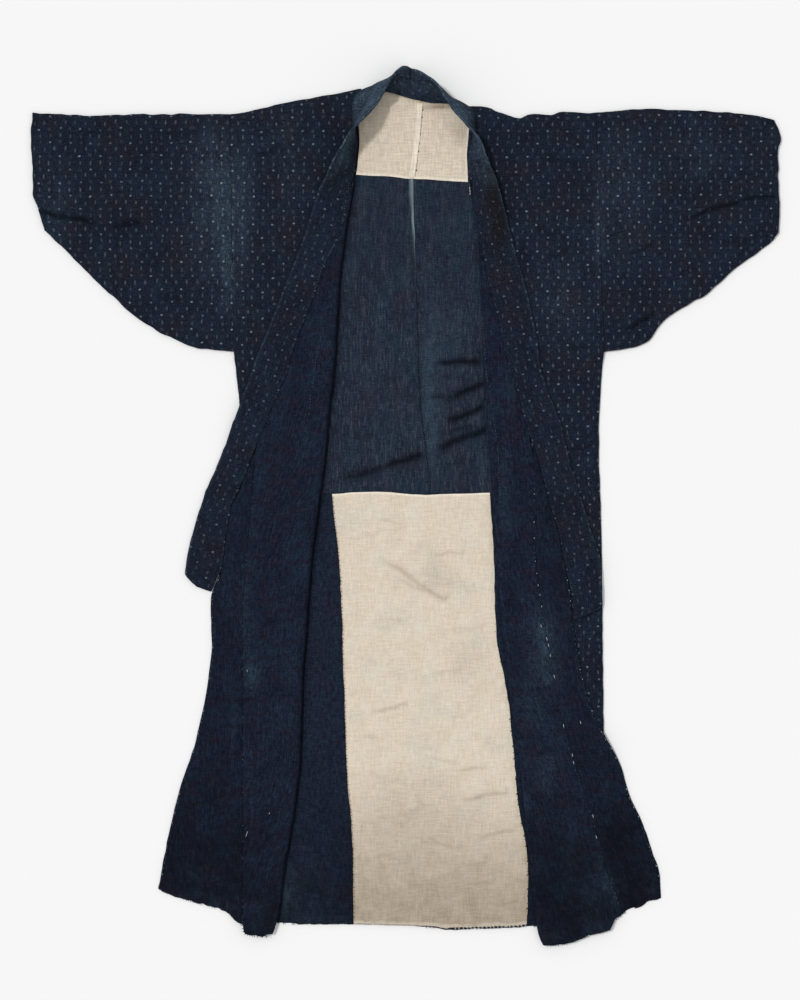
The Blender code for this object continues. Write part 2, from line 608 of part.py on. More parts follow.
def band(material):
    """The long collar band: folded flat outwards on both fronts, standing up round the neck.

    What a section lacks of the band's width on plan, it gains in height.
    """
    sections = [(*row, 0) for row in BAND_END_LEFT] + band_side("left")
    sections += [(*row, 1) for row in BAND_NECK]
    sections += band_side("right")[::-1] + [(*row, 0) for row in BAND_END_RIGHT]
    feet = np.array([section[:2] for section in sections], float)
    way = np.gradient(feet, axis=0)
    way = way / np.linalg.norm(way, axis=1, keepdims=True)
    points = []
    for (seam_x, seam_y, edge_x, edge_y, bow, floor, raised), along in zip(sections, way):
        foot = np.array([seam_x, seam_y])
        reach = np.array([edge_x, edge_y]) - foot
        spare = BAND_WIDTH ** 2 - float(reach @ reach) - BOW_LENGTH * bow ** 2
        rise = math.sqrt(max(spare, 0)) * raised
        out = np.array([-along[1], along[0]])
        lean = math.atan2(rise, float(reach @ out))
        start = foot + out * (BAND_SIDE_GAP + BAND / 2) * math.sin(lean)
        level = abs(math.cos(lean))
        row = []
        for t in np.linspace(0, 1, BAND_FACES + 1):
            swell = 4 * t * (1 - t) * bow
            plan = start + reach * t + out * swell * math.sin(lean)
            z = floor + BAND_LIFT + BAND / 2 * level + rise * t + swell * level
            if floor > ON_FRONT_LEVEL:
                hand = "left" if plan[0] < 0 else "right"
                z -= Z_ON_FRONT - on_front(plan[0], plan[1], hand)
            row.append((plan[0], plan[1], z))
        points.append(row)
    return solid("collar", np.array(points), BAND, material)


def sleeve(hand, material):
    """A sleeve: one cloth folded at the top and sewn under the arm, pressed flat but open at both ends."""
    grid = []
    for r in np.linspace(0, 1, SLEEVE_ROW_FACES + 1):
        share = np.linspace(0, 1, SLEEVE_PLY_FACES + 1)
        y = UNDERARM_LEFT[0][1] + (TOP_REF - UNDERARM_LEFT[0][1]) * share
        for _ in range(PASSES):
            seam_x = armhole[hand](np.maximum(y, ARMPIT)) + outward[hand] * GAP / 2
            x = cuff[hand](y) * (1 - r) + seam_x * r
            low, high = underarm[hand](x), shoulder[hand](x)
            y = low + (high - low) * share
        front_z = SLEEVE_FRONT + (Z_FRONT - SLEEVE_FRONT) * ease(r)
        radius = (front_z - Z_BACK) / 2
        inset = radius + SHELL / 2
        y = low + inset + (high - low - 2 * inset) * share
        turns = [math.pi * k / SLEEVE_TURN_FACES for k in range(1, SLEEVE_TURN_FACES)]
        row = [(x[k], y[k], Z_BACK) for k in range(SLEEVE_PLY_FACES + 1)]
        for turn in turns:
            row.append((x[-1], y[-1] + radius * math.sin(turn), Z_BACK + radius * (1 - math.cos(turn))))
        row += [(x[k], y[k], front_z) for k in range(SLEEVE_PLY_FACES, -1, -1)]
        for turn in turns:
            row.append((x[0], y[0] - radius * math.sin(turn), Z_BACK + radius * (1 + math.cos(turn))))
        grid.append(row)
    return solid(f"sleeve_{hand}", np.array(grid), SHELL, material, closed=True)


def main():
    for thing in list(bpy.data.objects):
        bpy.data.objects.remove(thing, do_unlink=True)
    shell = cloth("dotted_indigo", DOTTED_INDIGO)
    collar_cloth = cloth("collar_indigo", COLLAR_INDIGO)
    lining = cloth("plain_indigo", PLAIN_INDIGO)
    striped = cloth("slubby_indigo", SLUBBY_INDIGO)
    pale = cloth("pale_hemp", PALE_HEMP)
    for hand in ("left", "right"):
        back(hand, shell, striped)
        yoke(hand, pale)
        front(hand, shell, lining)
        overlap_pieces(hand, shell, lining)
        sleeve(hand, shell)
    lower_patch(pale)
    band(collar_cloth)


main()
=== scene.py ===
"""A noragi work jacket laid flat on its back, fronts folded open, with its cloths, seams and patches.

The tables are millimetres in the jacket's own frame: x across, y from hem to collar, z up from the floor.
"""

import math

import bpy
import numpy as np
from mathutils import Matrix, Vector
from mathutils.bvhtree import BVHTree


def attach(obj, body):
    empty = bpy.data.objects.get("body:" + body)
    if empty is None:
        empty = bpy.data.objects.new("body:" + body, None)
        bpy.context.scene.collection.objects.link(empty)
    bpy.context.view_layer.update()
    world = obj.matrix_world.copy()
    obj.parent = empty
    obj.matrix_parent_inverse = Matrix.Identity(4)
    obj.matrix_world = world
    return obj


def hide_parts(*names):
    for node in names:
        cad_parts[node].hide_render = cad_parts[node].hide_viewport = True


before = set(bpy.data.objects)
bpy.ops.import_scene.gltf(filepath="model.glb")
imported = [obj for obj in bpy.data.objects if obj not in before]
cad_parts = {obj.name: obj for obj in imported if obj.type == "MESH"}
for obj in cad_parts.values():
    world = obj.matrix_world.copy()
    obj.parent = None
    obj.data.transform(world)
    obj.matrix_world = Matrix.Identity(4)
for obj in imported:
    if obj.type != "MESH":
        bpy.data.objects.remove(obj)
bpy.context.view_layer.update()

bl_info = {
    "name": "Noragi jacket",
    "version": (1, 0, 0),
    "blender": (4, 5, 0),
    "location": "3D View > Sidebar > Noragi",
    "description": "Makes a lined noragi work jacket laid flat with its fronts folded open",
    "category": "Add Mesh",
}

MM = 0.001
HANDS = ("left", "right")

# Thickness of the cloths, the gap kept between pieces, and the band's finished width
SHELL = 1.2
LINING = 1.0
BAND = 3.5
BAND_WIDTH = 50.0
GAP = 0.3
PLY_GAP = 0.4
# Heights of each layer's middle where all of them lie on each other
Z_BACK = SHELL / 2
Z_BACK_LINING = SHELL + GAP + LINING / 2
Z_PATCH = Z_BACK_LINING + LINING + GAP
Z_FRONT = SHELL + 2 * LINING + 3 * GAP + SHELL / 2
LINING_OFFSET = SHELL / 2 + GAP + LINING / 2
Z_ON_FRONT = Z_FRONT + SHELL / 2 + PLY_GAP
SLEEVE_FRONT = Z_BACK + 2.2 * SHELL
# The soft loop of each inner fold: how much higher it stands, how far it reaches and over what length it rises
FOLD_LOOP = {"left": 2.2, "right": 0.8}
FOLD_LOOP_REACH = 16.0
LOOP_SETTLES = 120
# How far each lining stops inside the outer cloth at the sides, at the shoulder and at the hem
BACK_LINING_INSET = 6.0
FRONT_LINING_INSET = 10.5
LINING_BELOW_SHOULDER = 22.0
LINING_ABOVE_HEM = 2.0
# The shoulder fold belongs to the front, which laps under as far as the back's top edge
SHOULDER_LAP = 5.0
BACK_BELOW_SHOULDER = 9.5
# A front dips to the back at the side seam
SIDE_DIP = 9.0
DIP_LENGTH = 30.0
DIP_DEPTH = Z_FRONT - 1.5 * SHELL - GAP
# The back and the neck patch reach this far up under the band
NECK_REACH = 2.0
# What lies past the side seam drops to the floor
DROP_START = 8.0
DROP_REACH = 20.0
# A panel's rows start between these heights and bend to its own top and hem
TOP_REF = 640.0
TOP_BLEND_END = 525.0
HEM_BLEND_START = -540.0
HEM_REF = -670.0
# A front's neck edge starts to turn at the upper height and is folded right over at the lower one
CURL_TOP = 520.0
CURL_END = 490.0
# A neck edge keeps at least this flat strip, and at least this angle, so that nothing is divided by 0
FLANGE = 3.0
FLAT_TURN = 0.001
# Where the overlaps' upper tips and the armpits are
TIP = 89.0
TIP_START = 81.0
ARMPIT = 246.0
# Points close to an edge lie this far from it
EDGE_FIRST = 0.35
EDGE_SECOND = 1.6
# Widths that set how many columns a grid has: half a back, a front's lower and turned plies, an overlap,
# and a sleeve along the arm and from its seam to its top
BACK_HALF = 300
LOWER_PLY = 140
TURNED_PLY = 120
OVERLAP_PLY = 130
SLEEVE_ALONG = 310
SLEEVE_DEEP = 380
# The width of an overlap that its columns close to an edge are set for
OVERLAP_WIDTH = 120
# Columns of a front's lining up to the fold, and faces round a fold or the end of a sleeve
LINING_COLUMNS = 8
FOLD_FACES = 8
SEAM_STRIP_WIDTH = 9.5

# Columns x, y: the line of the shoulder fold and of the sleeve's top
SHOULDER_LEFT = ((-598, 628), (-498, 624), (-404, 626), (-281, 626), (-233, 635), (-188, 645),
                 (-138, 654), (-105, 660), (-70, 668))
SHOULDER_RIGHT = ((95, 640), (116, 638.5), (134, 636.5), (143, 631.5), (156, 628), (184, 620), (197, 625.5),
                  (207, 626.5), (233, 624.8), (247, 629.5), (268, 629.5),
                  (293, 628), (338, 632), (383, 634), (481, 631), (562, 624), (591, 617))
# Columns y, x: the open edge of the cuff
CUFF_LEFT = ((628, -598), (590, -599), (550, -596.5), (497, -596), (476, -588), (441, -577))
CUFF_RIGHT = ((617, 591), (590, 599.7), (558, 596), (517, 596), (484, 598), (435, 597), (427, 591))
# Columns x, y: the slanted seam under the arm
UNDERARM_LEFT = ((-577, 441), (-563, 427), (-514, 378), (-473, 339), (-420, 294), (-371, 266),
                 (-330, 251.5), (-275, 246))
UNDERARM_RIGHT = ((318, 246), (367, 252.5), (383, 260), (415, 297), (452, 321), (481, 337),
                  (510, 364), (542, 390), (575, 413), (591, 427))
# Columns y, x: the straight armhole seam, and the side seam below it
ARMHOLE_LEFT = ((626, -281), (246, -275))
ARMHOLE_RIGHT = ((628, 305), (246, 318))
SIDE_LEFT = ((246, -275), (210, -271), (162, -266), (0, -265), (-300, -262), (-660, -255))
SIDE_RIGHT = ((246, 318), (215, 314), (103, 309), (0, 312), (-103, 314.5), (-290, 316), (-666, 324))
# Columns y, x: the seam down the middle of the back
CENTRE = ((650, 26), (521, 13), (340, 18), (212, 21), (126, 27.5), (25, 39), (-300, 36), (-676, 31))
# Columns x, y: the neck seam and the hem of the back
BACK_NECK = ((-75, 657), (-50, 659.5), (-33, 660.5), (-15, 655.5), (2, 650.5), (39, 642.5), (66, 640.5),
             (95, 632))
BACK_HEM = ((-255, -660), (-186, -669.5), (-84, -669.5), (0, -671.5), (75, -679), (120, -677.5),
            (193, -674), (217, -673), (324, -666))
# Columns y, x: the neck edge of a front, then its inner fold down to the hem
FOLD_LEFT = ((668, -70), (645, -79), (625, -81), (593, -77), (560, -78), (526, -81.5), (441, -94.5),
             (353, -105), (222, -113), (162, -120), (62, -130), (-15, -141), (-103, -151), (-207, -159),
             (-324, -166), (-394, -167), (-481, -177), (-585, -194), (-660, -204), (-688, -214))
FOLD_RIGHT = ((639, 103), (617, 107), (599, 105), (553, 101), (514, 103), (452, 113), (345, 121),
              (234, 124), (158, 129), (22, 138), (-151, 151), (-279, 164), (-407, 182), (-567, 198),
              (-687, 213), (-704, 221))
# Columns y, x: the outer edge of a turned-back front, the band's seam and then the overlap's
TURNED_LEFT = ((490, -88), (465, -95), (425, -108), (385, -129), (345, -143), (272, -172), (236, -184),
               (198, -196), (142, -220), (89, -239), (52, -242), (-1, -246), (-87, -254), (-186, -260),
               (-671, -260))
TURNED_RIGHT = ((490, 107), (449, 116), (399, 126), (318, 144), (281, 153), (247, 160), (204, 174),
                (120, 195.5), (89, 202), (65, 205), (-44, 206), (-127, 212), (-212, 226), (-351, 252),
                (-492, 296), (-555, 314), (-655, 345))
# Columns y, x: the outer edge of an overlap, the band's seam and then its own free edge
OVERLAP_LEFT = ((89, -242), (55, -255), (26, -266), (-1, -279), (-30, -285.5), (-60, -289), (-110, -298),
                (-134, -308), (-151, -312), (-224, -310), (-262, -314), (-314, -322), (-383, -338),
                (-446, -359), (-498, -373), (-567, -387), (-614, -395.5))
OVERLAP_RIGHT = ((89, 209), (55, 218), (24, 226), (-54, 248), (-118, 260), (-150, 265), (-183, 266.5),
                 (-199, 270), (-262, 281), (-313, 294), (-367, 318), (-415, 344), (-466, 359),
                 (-503, 377), (-555, 395), (-588, 406), (-625, 409))
# Columns x, y: hems of the lower ply of a front, of its turned ply, and of the overlap
LOWER_HEM_LEFT = ((-265, -656), (-255, -660), (-235, -672), (-214, -686))
LOWER_HEM_RIGHT = ((221, -702), (260, -690), (324, -655))
TURNED_HEM_LEFT = ((-260, -672), (-259, -681), (-256, -685), (-224, -689), (-216, -689), (-214, -688.5))
TURNED_HEM_RIGHT = ((221, -704), (248, -702), (296, -686), (329, -677), (332, -665), (345, -655))
OVERLAP_HEM_LEFT = ((-395.5, -614), (-380, -621), (-338, -635), (-286, -650), (-276, -659), (-260, -671))
OVERLAP_HEM_RIGHT = ((345, -655), (357, -647.5), (376, -641), (380, -638.5), (388, -632.5), (398, -630.5),
                     (409, -627))
# Columns y, x and x, y: the neck patch in two halves and the long patch below it
YOKE_LEFT_EDGE = ((655, -68), (625, -77), (593, -74), (560, -75.5), (529, -79))
YOKE_RIGHT_EDGE = ((636, 99), (617, 102), (599, 101.5), (553, 98.5), (516, 100.5))
YOKE_TOP = ((-79, 645), (-68, 656), (-50, 658.5), (-33, 659.5), (2, 650), (39, 642), (66, 640), (99, 633))
YOKE_BOTTOM = ((-81, 529), (-41, 527), (15, 522.5), (55, 520), (101, 517))
PATCH_LEFT = ((18, -117.5), (-30, -113), (-119, -104), (-290, -98.5), (-428, -93.5), (-532, -85), (-666, -83))
PATCH_RIGHT = ((20, 135), (-87, 141.5), (-199, 145), (-311, 164), (-383, 172), (-471, 180), (-580, 196),
               (-672, 194.5))
PATCH_TOP = ((-118, 18), (-57, 22), (39, 17), (71, 19), (135, 20))
PATCH_BOTTOM = ((-83, -669), (-20, -670.6), (0, -671), (30, -672.5), (42, -673), (60, -676), (75, -675.5),
                (120, -674), (195, -671))
# Columns y, x: the band's folded edge where it lies flat on the fronts
EDGE_LEFT = ((-101, -353.5), (-57, -343.5), (-3, -329), (56, -305), (115, -281.5), (158, -266.5),
             (257, -229.5), (337, -197.5), (377, -183), (401, -172), (441, -157.5), (494, -141.5), (524, -124))
EDGE_RIGHT = ((500, 151), (451, 164), (395, 178.5), (330, 197.5), (262, 210), (198, 221.5), (142, 245.5),
              (123, 249.5), (-14, 288.5), (-47, 300), (-63, 309), (-110, 312.5), (-151, 314), (531, 140))
# Columns y, y: how much higher the folded edge is than the seam that it belongs to
SHIFT_LEFT = ((520, 7), (425, 15), (-100, 15))
SHIFT_RIGHT = ((520, 1), (425, 10), (-150, 12))
# Columns: seam x, seam y, folded edge x, edge y, bow outwards, height of what the band stands on
BAND_END_LEFT = ((-311.5, -137.5, -334, -130, 0, 5.7), (-309, -133.5, -344, -121, 0, 5.7),
                 (-304, -122, -353, -108, 0, 5.7))
BAND_NECK = (
    (-85, 520, -124, 527, 2, 5.7), (-80, 556, -99, 571, 2, 5.7), (-79, 580, -88, 588, 2, 5.7),
    (-81, 603, -72, 605, 2, 5.7), (-83, 625, -54, 623, 1, 5.7), (-81, 647, -40, 642, 2.5, 5.7),
    (-74, 659, -36, 649, 2.5, 5.7), (-62, 665, -33, 654, 5, 5.2), (-48, 665.5, -30, 661, 10.5, 3.0),
    (-33, 662.5, -25, 672, 13, 1.0), (-23, 659.5, -19, 683, 11, 0), (-13, 656.5, -10.5, 694, 7, 0),
    (-4, 654, -3.5, 700, 3, 0), (6, 651.5, 4.5, 701, 1, 0), (20, 648, 14, 697, 1, 0), (32, 645.5, 25, 690, 2, 0),
    (44, 643.5, 37, 680, 4, 0.2), (56, 642.5, 48, 668, 7, 0.8), (68, 642, 57, 657, 7, 2.0),
    (80, 641.5, 59.5, 648, 5, 3.6), (92, 640, 65, 641, 3.5, 5.2), (103, 635, 70.5, 631, 4, 5.7),
    (109, 620, 81, 618, 4, 5.7), (109, 603, 94.5, 603, 3, 5.7), (107, 589, 108.5, 590, 2, 5.7),
    (104, 572, 121, 574, 2, 5.7), (101, 553, 130, 553, 2, 5.7), (101, 530, 140, 531, 2, 5.7))
BAND_END_RIGHT = ((267, -152, 314, -146, 0, 5.7), (269.5, -170, 313, -159, 0, 5.7),
                  (270, -184, 300, -171, 0, 5.7))
BAND_STATIONS = (-100, -50, 0, 45, 89, 125, 165, 205, 246, 295, 340, 385, 425, 460, 490, 495, 500, 505, 510, 515)
# The band's width squared is its chord squared and this many times its bow squared
BOW_LENGTH = 16 / 3
# On a front it starts to rise and bow between these heights, up to this bow
BAND_RISE_START = 400.0
BAND_RISE_END = 500.0
BAND_BOW = 2.0
# How far its foot stands off the seam, below 0 over the seam, and how high above what it lies on; a floor
# higher than the last level is a front
BAND_SIDE_GAP = -0.9
BAND_LIFT = 0.35
ON_FRONT_LEVEL = 5.0
# Where the neck patch, the band on the fronts and the pieced part of the back's lining end
YOKE_FOOT = 512.0
BAND_FOOT_Y = -150.0
PIECED_TOP = 21.0
# The stage in metres: direction to the light, the camera's place and lens in mm, and the floor
SUN_FROM = (-0.457, 0.205, 0.866)
CAMERA_AT = (-0.0088, 0.0088)
LENS = 85
SENSOR = 36
FLOOR_REACH = 12.0
FLOOR_HEIGHT = -0.0003


# Curves and fields

def smooth(table):
    """Returns a curve through the rows (key, value) of a table that never overshoots between them."""
    rows = sorted(table)
    key = np.array([row[0] for row in rows], float)
    value = np.array([row[1] for row in rows], float)
    step = np.diff(key)
    rise = np.diff(value) / step
    slope = np.concatenate(([rise[0]], np.zeros(len(key) - 2), [rise[-1]]))
    for i in range(1, len(key) - 1):
        if rise[i - 1] * rise[i] > 0:
            slope[i] = 2 * rise[i - 1] * rise[i] / (rise[i - 1] + rise[i])

    def curve(at):
        at = np.clip(np.asarray(at, float), key[0], key[-1])
        i = np.clip(np.searchsorted(key, at, "right") - 1, 0, len(step) - 1)
        t = (at - key[i]) / step[i]
        start = value[i] * (1 + 2 * t) * (1 - t) ** 2 + slope[i] * step[i] * t * (1 - t) ** 2
        end = value[i + 1] * t * t * (3 - 2 * t) - slope[i + 1] * step[i] * t * t * (1 - t)
        return start + end

    return curve


def pair(left, right):
    """The curves of a left and a right table."""
    return {"left": smooth(left), "right": smooth(right)}


def ease(t):
    """A soft step from 0 to 1."""
    t = np.clip(t, 0, 1)
    return t * t * (3 - 2 * t)


outward = {"left": -1, "right": 1}
body_side = pair(SIDE_LEFT, SIDE_RIGHT)
armhole = pair(ARMHOLE_LEFT, ARMHOLE_RIGHT)
fold = pair(FOLD_LEFT, FOLD_RIGHT)
turned = pair(TURNED_LEFT, TURNED_RIGHT)
overlap = pair(OVERLAP_LEFT, OVERLAP_RIGHT)
shoulder = pair(SHOULDER_LEFT, SHOULDER_RIGHT)
cuff = pair(CUFF_LEFT, CUFF_RIGHT)
underarm = pair(UNDERARM_LEFT, UNDERARM_RIGHT)
lower_hem = pair(LOWER_HEM_LEFT, LOWER_HEM_RIGHT)
turned_hem = pair(TURNED_HEM_LEFT, TURNED_HEM_RIGHT)
overlap_hem = pair(OVERLAP_HEM_LEFT, OVERLAP_HEM_RIGHT)
band_edge = pair(EDGE_LEFT, EDGE_RIGHT)
band_shift = pair(SHIFT_LEFT, SHIFT_RIGHT)
centre = smooth(CENTRE)
neck = smooth(BACK_NECK)
back_hem = smooth(BACK_HEM)


def value_noise(x, y, cell, seed):
    """Smooth noise from -1 to 1 over cells of a size in mm."""
    nodes = np.random.RandomState(seed).uniform(-1, 1, (97, 89))
    u, v = np.asarray(x, float) / cell + 40, np.asarray(y, float) / cell + 40
    i, j = np.floor(u).astype(int), np.floor(v).astype(int)
    s, t = ease(u - i), ease(v - j)
    near = nodes[i % 97, j % 89] * (1 - s) + nodes[(i + 1) % 97, j % 89] * s
    far = nodes[i % 97, (j + 1) % 89] * (1 - s) + nodes[(i + 1) % 97, (j + 1) % 89] * s
    return near * (1 - t) + far * t


def rippled(x, y, angle, across, along, seed):
    """Noise drawn out along a direction in degrees: cell size across it and along it."""
    c, s = math.cos(math.radians(angle)), math.sin(math.radians(angle))
    return value_noise((-x * s + y * c) / across, (x * c + y * s) / along, 1, seed)


def settle(x, y):
    """From 0 to 1: how high the layers puff where they lie loosely on each other."""
    broad = value_noise(x, y, 95, 3) * 0.6 + value_noise(x, y, 48, 5) * 0.4
    return 0.5 + 0.5 * np.clip(broad * 1.3, -1, 1)


def wrinkles(x, y, lengthwise, crosswise, seed):
    """Height in mm of fine wrinkles, by how much runs along the cloth and how much across it."""
    long_folds = rippled(x, y, 88, 13, 120, seed) * 0.65 + rippled(x, y, 83, 6, 45, seed + 1) * 0.35
    cross_folds = rippled(x, y, 4, 9, 40, seed + 2) * 0.6 + rippled(x, y, -14, 6, 26, seed + 3) * 0.4
    uneven = 0.6 + 0.4 * value_noise(x, y, 60, seed + 4)
    grain = 0.12 * (1 + value_noise(x, y, 5.5, seed + 5))
    height = uneven * (lengthwise * (1 + long_folds) + crosswise * (1 + cross_folds)) / 2 + grain
    return height * millimetres("wrinkle")


def puckers(along, distance, seed):
    """Height from 0 up of the little waves that a seam draws into the cloth beside it."""
    beat = np.sin(along / 1.55 + 2.2 * value_noise(along, 0 * along, 17, seed))
    return 0.35 * (1 + beat) * np.exp(-np.maximum(distance, 0) / 7)


def loosen(points):
    """The points a little out of true in plan, the same for all layers."""
    points = points.copy()
    x, y = points[..., 0].copy(), points[..., 1].copy()
    points[..., 0] += 0.55 * value_noise(x, y, 11, 71) + 0.5 * value_noise(x, y, 33, 72)
    hem = ease((-585 - y) / 30)
    points[..., 1] += 0.55 * value_noise(x, y, 11, 73) + 0.5 * value_noise(x, y, 33, 74)
    points[..., 1] += hem * (1.5 * value_noise(x, y, 6.5, 75) + 1.3 * value_noise(x, y, 19, 76))
    outer = ease((np.abs(x) - 290) / 30) * (0.3 + 0.7 * ease((y - 215) / 30))
    points[..., 0] += outer * 0.8 * value_noise(x, y, 15, 77)
    points[..., 1] += outer * 1.1 * value_noise(x, y, 15, 78)
    return points


def crease_field(x, y, creases):
    """Height of a table of creases, columns x1, y1, x2, y2, height, width.

    The second value, from 0 to 1, is the painted shade along each crease's steeper side.
    """
    height, painted_shade = np.zeros_like(x), np.zeros_like(x)
    for x1, y1, x2, y2, rise, width in creases:
        length = math.hypot(x2 - x1, y2 - y1)
        along = ((x - x1) * (x2 - x1) + (y - y1) * (y2 - y1)) / length
        off = ((y - y1) * (x2 - x1) - (x - x1) * (y2 - y1)) / length
        off = off + 1.2 * np.sin(along / 11 + x1) + 0.6 * np.sin(along / 4.3 + y1)
        off = off * np.sign(width)
        width = abs(width)
        fade = ease(along / (length * 0.32)) * ease((length - along) / 6)
        reach = np.where(off > 0, width * 1.8, width * 0.42)
        height = np.maximum(height, 1.25 * rise * fade * np.exp(-((off / reach) ** 2)))
        # Painted shade beside the crease's steeper side
        shadow = min(rise / 2.4, 1) * np.exp(-(((off + width * 0.45) / (width * 0.75)) ** 2))
        painted_shade = np.maximum(painted_shade, fade * shadow)
    return height, painted_shade


# The jacket's own lines

def side(y, hand):
    """The side of the body: the armhole seam, and below the armpit the side seam."""
    return np.where(np.asarray(y) > ARMPIT, armhole[hand](y), body_side[hand](y))


def back_top(x):
    """The back's top edge: the neck seam, and below the shoulder fold on both sides of it."""
    x = np.asarray(x, float)
    left = shoulder["left"](x) - BACK_BELOW_SHOULDER
    right = shoulder["right"](x) - BACK_BELOW_SHOULDER
    reach = NECK_REACH * ease((x - BACK_NECK[0][0]) / 12) * ease((BACK_NECK[-1][0] - x) / 12)
    return np.where(x < BACK_NECK[0][0], left, np.where(x > BACK_NECK[-1][0], right, neck(x) + reach))


def on_front(x, y, hand):
    """Height that a turned-back ply lies at: on the front, and down to the floor outside the body."""
    beyond = outward[hand] * (x - side(y, hand))
    return Z_ON_FRONT * (1 - ease((beyond - DROP_START + 3) / (DROP_REACH + 6)))


def hem_share(station):
    """How much rows that start at these heights bend to a panel's own hem."""
    return np.maximum((HEM_BLEND_START - station) / (HEM_BLEND_START - HEM_REF), 0)


def place(station, x_at, top, bottom):
    """The points of one column of a panel whose rows bend to its top and hem."""
    up = np.maximum((station - TOP_BLEND_END) / (TOP_REF - TOP_BLEND_END), 0)
    down = hem_share(station)
    y = station.copy()
    for _ in range(10):
        x = x_at(y)
        y = station + (top(x) - TOP_REF) * up + (bottom(x) - HEM_REF) * down
    return x, y


def fold_radius(station, hand):
    """Radius of the outer cloth round the inner fold, softer further down."""
    return (SHELL + PLY_GAP + FOLD_LOOP[hand] * ease((CURL_END - station) / LOOP_SETTLES)) / 2


def curl(station):
    """Angle through which a front's edge is turned: none at the neck, a half turn below the curl."""
    return math.pi * np.clip((CURL_TOP - station) / (CURL_TOP - CURL_END), 0, 1)


def loop_start(y, station, hand):
    """Where a front's lower ply ends and its fold, or the last strip of its neck edge, begins."""
    radius = fold_radius(station, hand)
    flat = math.pi * radius + FLANGE
    folded = SHELL / 2 + GAP + LINING + radius
    share = curl(station) / math.pi
    return fold[hand](y) + outward[hand] * (flat * (1 - share) + folded * share)


def front_edge(x0, station, hand):
    """Where the turned ply of a front ends, at least a narrow flange outside the fold."""
    width = np.maximum(outward[hand] * (turned[hand](station) - x0), FLANGE)
    return x0 + outward[hand] * width


# Making meshes

def run_along(line):
    """Length along a line of points, from its first one."""
    return np.concatenate([[0], np.cumsum(np.linalg.norm(np.diff(line, axis=0), axis=1))])


def xy_of(points):
    """The x and the y of a grid of points, as copies."""
    return points[:, :, 0].copy(), points[:, :, 1].copy()


def stacked(columns):
    """A grid of points from its columns of x, y and z."""
    return np.stack([np.array([column[k] for column in columns]).T for k in range(3)], axis=2)


def add_object(name, data):
    """A new object in the scene."""
    thing = bpy.data.objects.new(name, data)
    bpy.context.collection.objects.link(thing)
    return thing


def run_length(points):
    """Length along each row of a grid of points, from its first column."""
    steps = np.linalg.norm(np.diff(points, axis=1), axis=2)
    return np.concatenate([np.zeros((len(points), 1)), np.cumsum(steps, axis=1)], axis=1)


def grid_normals(points, closed):
    """Unit normals of a grid of points, with columns that may run round in a ring."""
    along = np.gradient(points, axis=0)
    if closed:
        across = np.roll(points, -1, axis=1) - np.roll(points, 1, axis=1)
    else:
        across = np.gradient(points, axis=1)
    normal = np.cross(along, across)
    return normal / np.maximum(np.linalg.norm(normal, axis=2, keepdims=True), 1e-9)


def wall(name, points, flat, thickness, material, marks=None, closed=False):
    """A closed wall of cloth round a grid of middle points, with the flat cut's coordinates as its UVs.

    The columns of a tube run round in a ring, and its flat cut has one column more than its points.
    """
    rows, columns = points.shape[:2]
    points = loosen(points)
    normal = grid_normals(points, closed)
    half = np.broadcast_to(np.asarray(thickness, float) / 2, (rows, columns))[..., None]
    verts = np.concatenate([points + normal * half, points - normal * half]).reshape(-1, 3) * MM
    index = np.arange(2 * rows * columns).reshape(2, rows, columns)
    top, under = np.concatenate([index, index[:, :, :1]], axis=2) if closed else index
    cut = np.arange(rows * flat.shape[1]).reshape(rows, flat.shape[1])

    def faces_of(high, low):
        def quads(*corners):
            return np.stack(corners, axis=-1).reshape(-1, 4)

        found = [quads(high[:-1, :-1], high[1:, :-1], high[1:, 1:], high[:-1, 1:]),
                 quads(low[:-1, :-1], low[:-1, 1:], low[1:, 1:], low[1:, :-1]),
                 quads(high[0, :-1], high[0, 1:], low[0, 1:], low[0, :-1]),
                 quads(high[-1, 1:], high[-1, :-1], low[-1, :-1], low[-1, 1:])]
        if not closed:
            found += [quads(high[1:, 0], high[:-1, 0], low[:-1, 0], low[1:, 0]),
                      quads(high[:-1, -1], high[1:, -1], low[1:, -1], low[:-1, -1])]
        return np.concatenate(found)

    faces, cut_faces = faces_of(top, under), faces_of(cut, cut)
    a, b, c, d = (verts[faces[:, k]] for k in range(4))
    volume = np.einsum("ij,ij->i", a, np.cross(b, c)).sum() + np.einsum("ij,ij->i", a, np.cross(c, d)).sum()
    if volume < 0:
        faces, cut_faces = faces[:, ::-1], cut_faces[:, ::-1]
    mesh = bpy.data.meshes.new(name)
    mesh.from_pydata(verts.tolist(), [], faces.tolist())
    layer = mesh.uv_layers.new(name="cut")
    layer.data.foreach_set("uv", (flat.reshape(-1, 2)[cut_faces.ravel()] * MM).ravel())
    for key, values in (marks or {}).items():
        values = np.broadcast_to(values, (rows, columns)).ravel()
        field = mesh.attributes.new(key, "FLOAT", "POINT")
        field.data.foreach_set("value", np.concatenate([values, values]))
    mesh.materials.append(material)
    mesh.shade_smooth()
    mesh.set_sharp_from_angle(angle=math.radians(60))
    return add_object(name, mesh)


def rounded(distance, thickness):
    """The thickness of a cloth near its edge, which is rounded off."""
    reach = thickness / 2
    near = np.clip(1 - distance / reach, 0, 1)
    return thickness * np.sqrt(np.maximum(1 - near * near, 0.04))


def spread(width, count):
    """Shares of a width in mm: even columns, with two more close to both edges."""
    first, second = EDGE_FIRST / width, EDGE_SECOND / width
    return np.concatenate([[0, first], np.linspace(second, 1 - second, count + 1), [1 - first, 1]])


